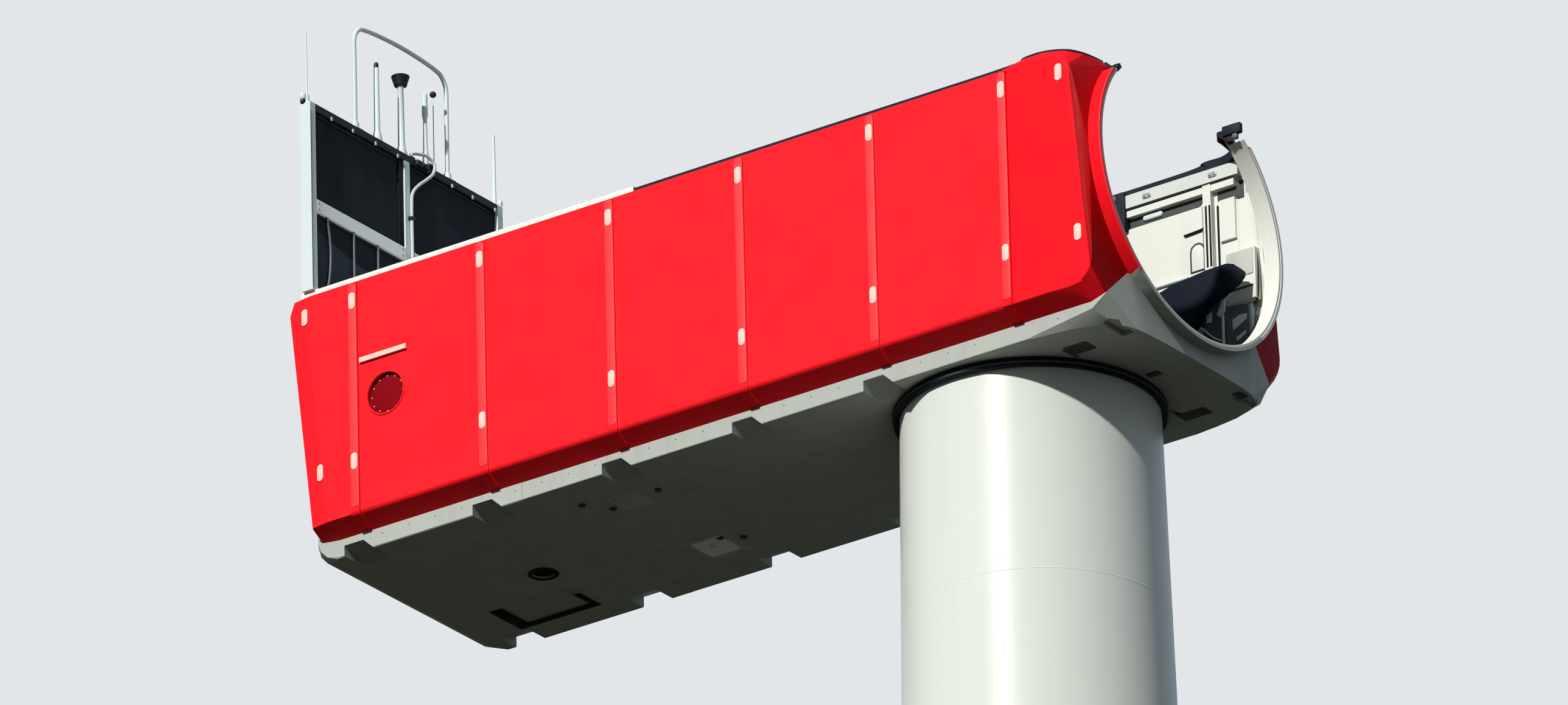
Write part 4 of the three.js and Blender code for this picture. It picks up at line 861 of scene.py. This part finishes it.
BALL_R, BALL_UP = 0.044, 1.145
t = np.linspace(-np.pi / 2 + 0.35, np.pi / 2, 14)[:-1]
ball = [(0, 1.1), *zip(BALL_R * np.cos(t), BALL_UP + BALL_R * np.sin(t)), (0, BALL_UP + BALL_R)]
BALL_ROD = [(0, 0), (0.02, 0), (0.02, 0.02), (0.007, 0.03), (0.007, 1.12), (0, 1.12)]
mast_stand_in("ball_sensor", ball, RAIL, "black_rail")
put("ball_sensor_rod", mast(middle("ball_sensor", Y), BALL_ROD, 12), WHITE, "white_frame")

ROD_LEFT = [(0, 0), (0.04, 0), (0.04, 0.03), (0.026, 0.05), (0.018, 1.045), (0.012, 1.05), (0, 1.05)]
ROD_RIGHT = [(0, 0), (0.04, 0), (0.03, 0.115), (0.014, 0.125), (0.012, 0.14), (0.008, 1.035), (0, 1.04)]
ROD_CLAMP = [(0, 0), (0.034, 0), (0.038, 0.01), (0.038, 0.04), (0.032, 0.05), (0, 0.05)]
ROD_KNOB = [(0, 0.048), (0.03, 0.048), (0.04, 0.064), (0.04, 0.12), (0.03, 0.138), (0, 0.142)]
END_KNOB = [(0, 0), (0.022, 0), (0.022, 0.03), (0.032, 0.045), (0.032, 0.09), (0.022, 0.11), (0, 0.112)]
mast_stand_in("rod_left", ROD_LEFT, WHITE, "white_frame", 20)
mast_stand_in("rod_right", ROD_RIGHT, WHITE, "white_frame", 20)
put("rod_clamp", mast(-2.085, ROD_CLAMP, 20, -0.03), RAIL, "black_rail")
put("rod_knob", mast(-2.085, ROD_KNOB, 20, -0.03), WHITE, "white_frame")
put("rail_end_knob", mast(2.085, END_KNOB, 20, 0.05), WHITE, "white_frame")

# The sensors' conduit: Y, height above the rail, and how far ahead of its middle
CABLE_RUN = [(0.165, 0.0, 0.03), (0.165, 0.05, 0.03), (0.185, 0.09, 0.035), (0.3, 0.125, 0.05),
             (0.44, 0.13, 0.09), (0.55, 0.04, 0.122), (0.51, -0.1, 0.13), (0.38, -0.23, 0.13),
             (0.2, -0.38, 0.125), (0.08, -0.52, 0.118), (0.05, -0.7, 0.112), (0.05, -1.4, 0.112),
             (0.05, -2.1, 0.112), (0.05, -2.67, 0.112)]
conduit = rod([on_rail(*point) for point in CABLE_RUN], 0.022, 16, 10)
stand_in("sensor_cable", [conduit], CABLE, "grey_cable")
clips = [block((-9.652, 0.0, z - 0.02), (-9.594, 0.1, z + 0.02), 0.005) for z in (5.51, 4.9, 4.3, 3.9)]
put("cable_clips", clips, RAIL, "black_rail")
boxes = [block((-9.652, 0.17, 6.325), (-9.6, 0.3, 6.405), 0.008),
         block((-9.652, 0.33, 6.335), (-9.61, 0.44, 6.41), 0.008),
         block((-9.7, 0.46, RAIL_TOP), (-9.62, 0.6, 6.46), 0.008),
         block((-9.72, 0.1, RAIL_TOP), (-9.66, 0.2, 6.45), 0.008)]
put("sensor_junction_boxes", boxes, RAIL, "black_rail")


# Underside: the drain's ring, the hatch's gaps, pads and small fittings

DRAIN = (-7.73, 0.18, 0)
DRAIN_COVER = [(0, 0.03), (0.149, 0.03), (0.149, 0.04), (0, 0.044)]
DRAIN_RING = [(0.148, 0.0), (0.2, 0.0), (0.2, 0.008), (0.192, 0.012), (0.156, 0.012), (0.148, 0.008)]
put("drain_cover", [turned(DRAIN_COVER, DRAIN)], BLACK, "black_seal")
put("drain_ring", [turned_ring(DRAIN_RING, DRAIN, DOWN, 48)], BLACK, "dark_casting")
gaps = [on_underside(rounded(0.19, 0.7, 0.01, 2), -8.9, 1.07, 0.006),
        on_underside(rounded(0.1, 0.47, 0.01, 2), -7.77, 1.185, 0.006),
        on_underside(rounded(1.27, 0.11, 0.01, 2), -8.355, 1.365, 0.008)]
put("hatch_gaps", gaps, BLACK, "black_seal")
pads = [on_underside(rounded(0.62, 0.64, 0.03, 3), -5.46, 0.85, 0.006),
        on_underside(rounded(0.45, 0.5, 0.03, 3), -5.505, -1.0, 0.008)]
put("underside_pads", pads, PAD, "grey_pan")
# The lid takes the same brighter white, which keeps it bright in the underside's shade.
pan_lid = on_underside(rounded(0.46, 0.48, 0.04, 4), -5.49, 0.84, 0.016)
put("underside_lid", [pan_lid], BRIGHT_WHITE_AND_PAINTED_LIGHT, "grey_pan")
# The dark plates in the hollows under the chin are painted shade.
HOLLOWS = ((0.36, 0.26, 1.62, -1.24), (0.2, 0.14, 1.9, -0.02), (0.42, 0.22, 1.61, 1.3),
           (0.14, 0.2, 2.38, 1.19))  # size along X and Y, and place
hollows = [on_underside(rounded(long, wide, 0.03, 3), x, y, 0.006) for long, wide, x, y in HOLLOWS]
put("chin_hollow_painted_shade", hollows, DARK, "dark_casting")


def button(x, y, r, height):
    """A low domed fitting under the pan: its radius shrinks along a quarter circle."""
    a = np.linspace(0, np.pi / 2, 6)[:-1]
    dome = [(0, 0), (r, 0), *zip(r * np.cos(a), 0.3 * height + 0.7 * height * np.sin(a)), (0, height)]
    return turned(dome, (x, y, 0), DOWN, 24)


FITTINGS = [(-5.04, 0.83), (-5.29, 0.66), (-5.82, -0.92), (-5.03, -1.04), (-6.07, -1.25)]
put("underside_fittings", [button(x, y, 0.05, 0.03) for x, y in FITTINGS], DARK, "dark_casting")
put("underside_plug", [button(-5.51, 0.81, 0.045, 0.035)], WHITE, "white_frame")
lip_bolts = []
for x in np.arange(-9.2, 1.9, 0.42):
    if min(abs(x + 0.15 - rib) for rib in RIB_X) > 0.32:  # none in the pockets of the edge
        for side in (-1, 1):
            lip_bolts += bolt((x, side * 1.847, 0.165), (0, side, 0), 0.012, 0.01)
put("pan_lip_bolts", lip_bolts, BOLT_STEEL, "bare_steel")


# Camera: the photograph's viewing direction and distance, with a longer lens on the object

AZIMUTH, ELEVATION, ROLL = (math.radians(a) for a in (34.3076, -24.3383, 1.7781))
DISTANCE = 250.0
AIM = (-3.073, 0.863)  # the middle of the picture, right of and above the yaw axis at the underside
LENS, SENSOR = 456.6, 36


def direction(azimuth, height):
    """The direction towards a point of the sky: azimuth 0 lies at -Y and 90 degrees at +X."""
    return Vector((math.sin(azimuth) * math.cos(height), -math.cos(azimuth) * math.cos(height),
                   math.sin(height)))


toward = direction(AZIMUTH, ELEVATION)
right = Vector((math.cos(AZIMUTH), math.sin(AZIMUTH), 0))
up = toward.cross(right)
zero = Vector((0, 0, LIFT))
eye = zero + toward * DISTANCE
aim = zero + right * AIM[0] + up * AIM[1]
back = (eye - aim).normalized()
level = right * math.cos(ROLL) - up * math.sin(ROLL)
level = (level - back * level.dot(back)).normalized()
camera = bpy.data.objects.new("camera", bpy.data.cameras.new("camera"))
camera.matrix_world = Matrix((level, back.cross(level), back)).transposed().to_4x4()
camera.location = eye
camera.data.lens = LENS
camera.data.sensor_width = SENSOR
camera.data.clip_start = 1
camera.data.clip_end = 20000
bpy.context.scene.collection.objects.link(camera)
bpy.context.scene.camera = camera


# Light: one broad key from the near side and a weak fill, which is darker from below and stronger from
# the front and from the far side's rear

KEY_AZIMUTH, KEY_HEIGHT = math.radians(4), math.radians(32)
SKY_FILL = [(0.3, (0.037, 0.037, 0.029)), (0.44, (0.062, 0.066, 0.06)), (0.52, (0.17, 0.2, 0.22)),
            (0.75, (0.2, 0.24, 0.3))]  # from 0 straight below to 1 straight above
FRONT_FILL = (1.0, 1.4)
REAR_FILL = (0.0, 1.3)
REAR_SIDE = (-0.55, 0.74, 0.38)

key = bpy.data.objects.new("key_light", bpy.data.lights.new("key_light", "SUN"))
key.data.energy = 4.2
key.data.angle = math.radians(2.0)
key.data.color = (1.0, 0.985, 0.95)
key.rotation_mode = "QUATERNION"
key.rotation_quaternion = direction(KEY_AZIMUTH, KEY_HEIGHT).to_track_quat("Z", "Y")
bpy.context.scene.collection.objects.link(key)

world = bpy.data.worlds.new("studio")
bpy.context.scene.world = world
world.use_nodes = True
sky = Wiring(world.node_tree)
sky.nodes.clear()
way = sky.add("TexCoord", {}).outputs["Generated"]
split = sky.add("SeparateXYZ", {0: way})
ramp = sky.add("ValToRGB", {"Fac": sky.spread(split.outputs["Z"], -1, 1)})
marks = ramp.color_ramp.elements
marks.remove(marks[1])
for place, (stop, colour) in enumerate(SKY_FILL):
    mark = marks.new(stop) if place else marks[0]
    mark.position = stop
    mark.color = (*colour, 1)
front = sky.spread(split.outputs["X"], 0, 1, *FRONT_FILL)
rear = sky.spread(sky.along(way, REAR_SIDE), 0, 1, *REAR_FILL)
strength = sky.add("Math", {0: front, 1: rear}, operation="ADD").outputs[0]
fill = sky.add("Background", {"Color": ramp.outputs["Color"], "Strength": strength}).outputs[0]
seen = sky.add("Background", {"Color": srgb(226, 230, 233)}).outputs[0]
straight = sky.add("LightPath", {}).outputs["Is Camera Ray"]
chosen = sky.add("MixShader", {0: straight, 1: fill, 2: seen}).outputs[0]
sky.add("OutputWorld", {"Surface": chosen})


# Floor: a wide pale disc at the foot of a full-height tower, below the camera

FLOOR_Z = -104.5
FLOOR_R = 6000
r = np.linspace(0, FLOOR_R, 24)
floor_mesh = bpy.data.meshes.new("floor")
points, faces = turned(np.stack([r, np.zeros_like(r)], 1), (0, 0, FLOOR_Z), steps=64)
floor_mesh.from_pydata(points.tolist(), [], faces)
floor = bpy.data.objects.new("floor", floor_mesh)
bpy.context.scene.collection.objects.link(floor)
floor_look = Look("pale_floor", srgb(228, 230, 231), 0.9, sheen=0.1)
floor_look.blend(srgb(223, 225, 227), floor_look.spread(floor_look.noise(0.01), 0.3, 0.7))
floor_mesh.materials.append(floor_look.done(0.02))
floor.visible_diffuse = False
floor.visible_glossy = False
floor.visible_shadow = False

bpy.context.scene.view_settings.view_transform = "Standard"
bpy.context.scene.view_settings.look = "None"
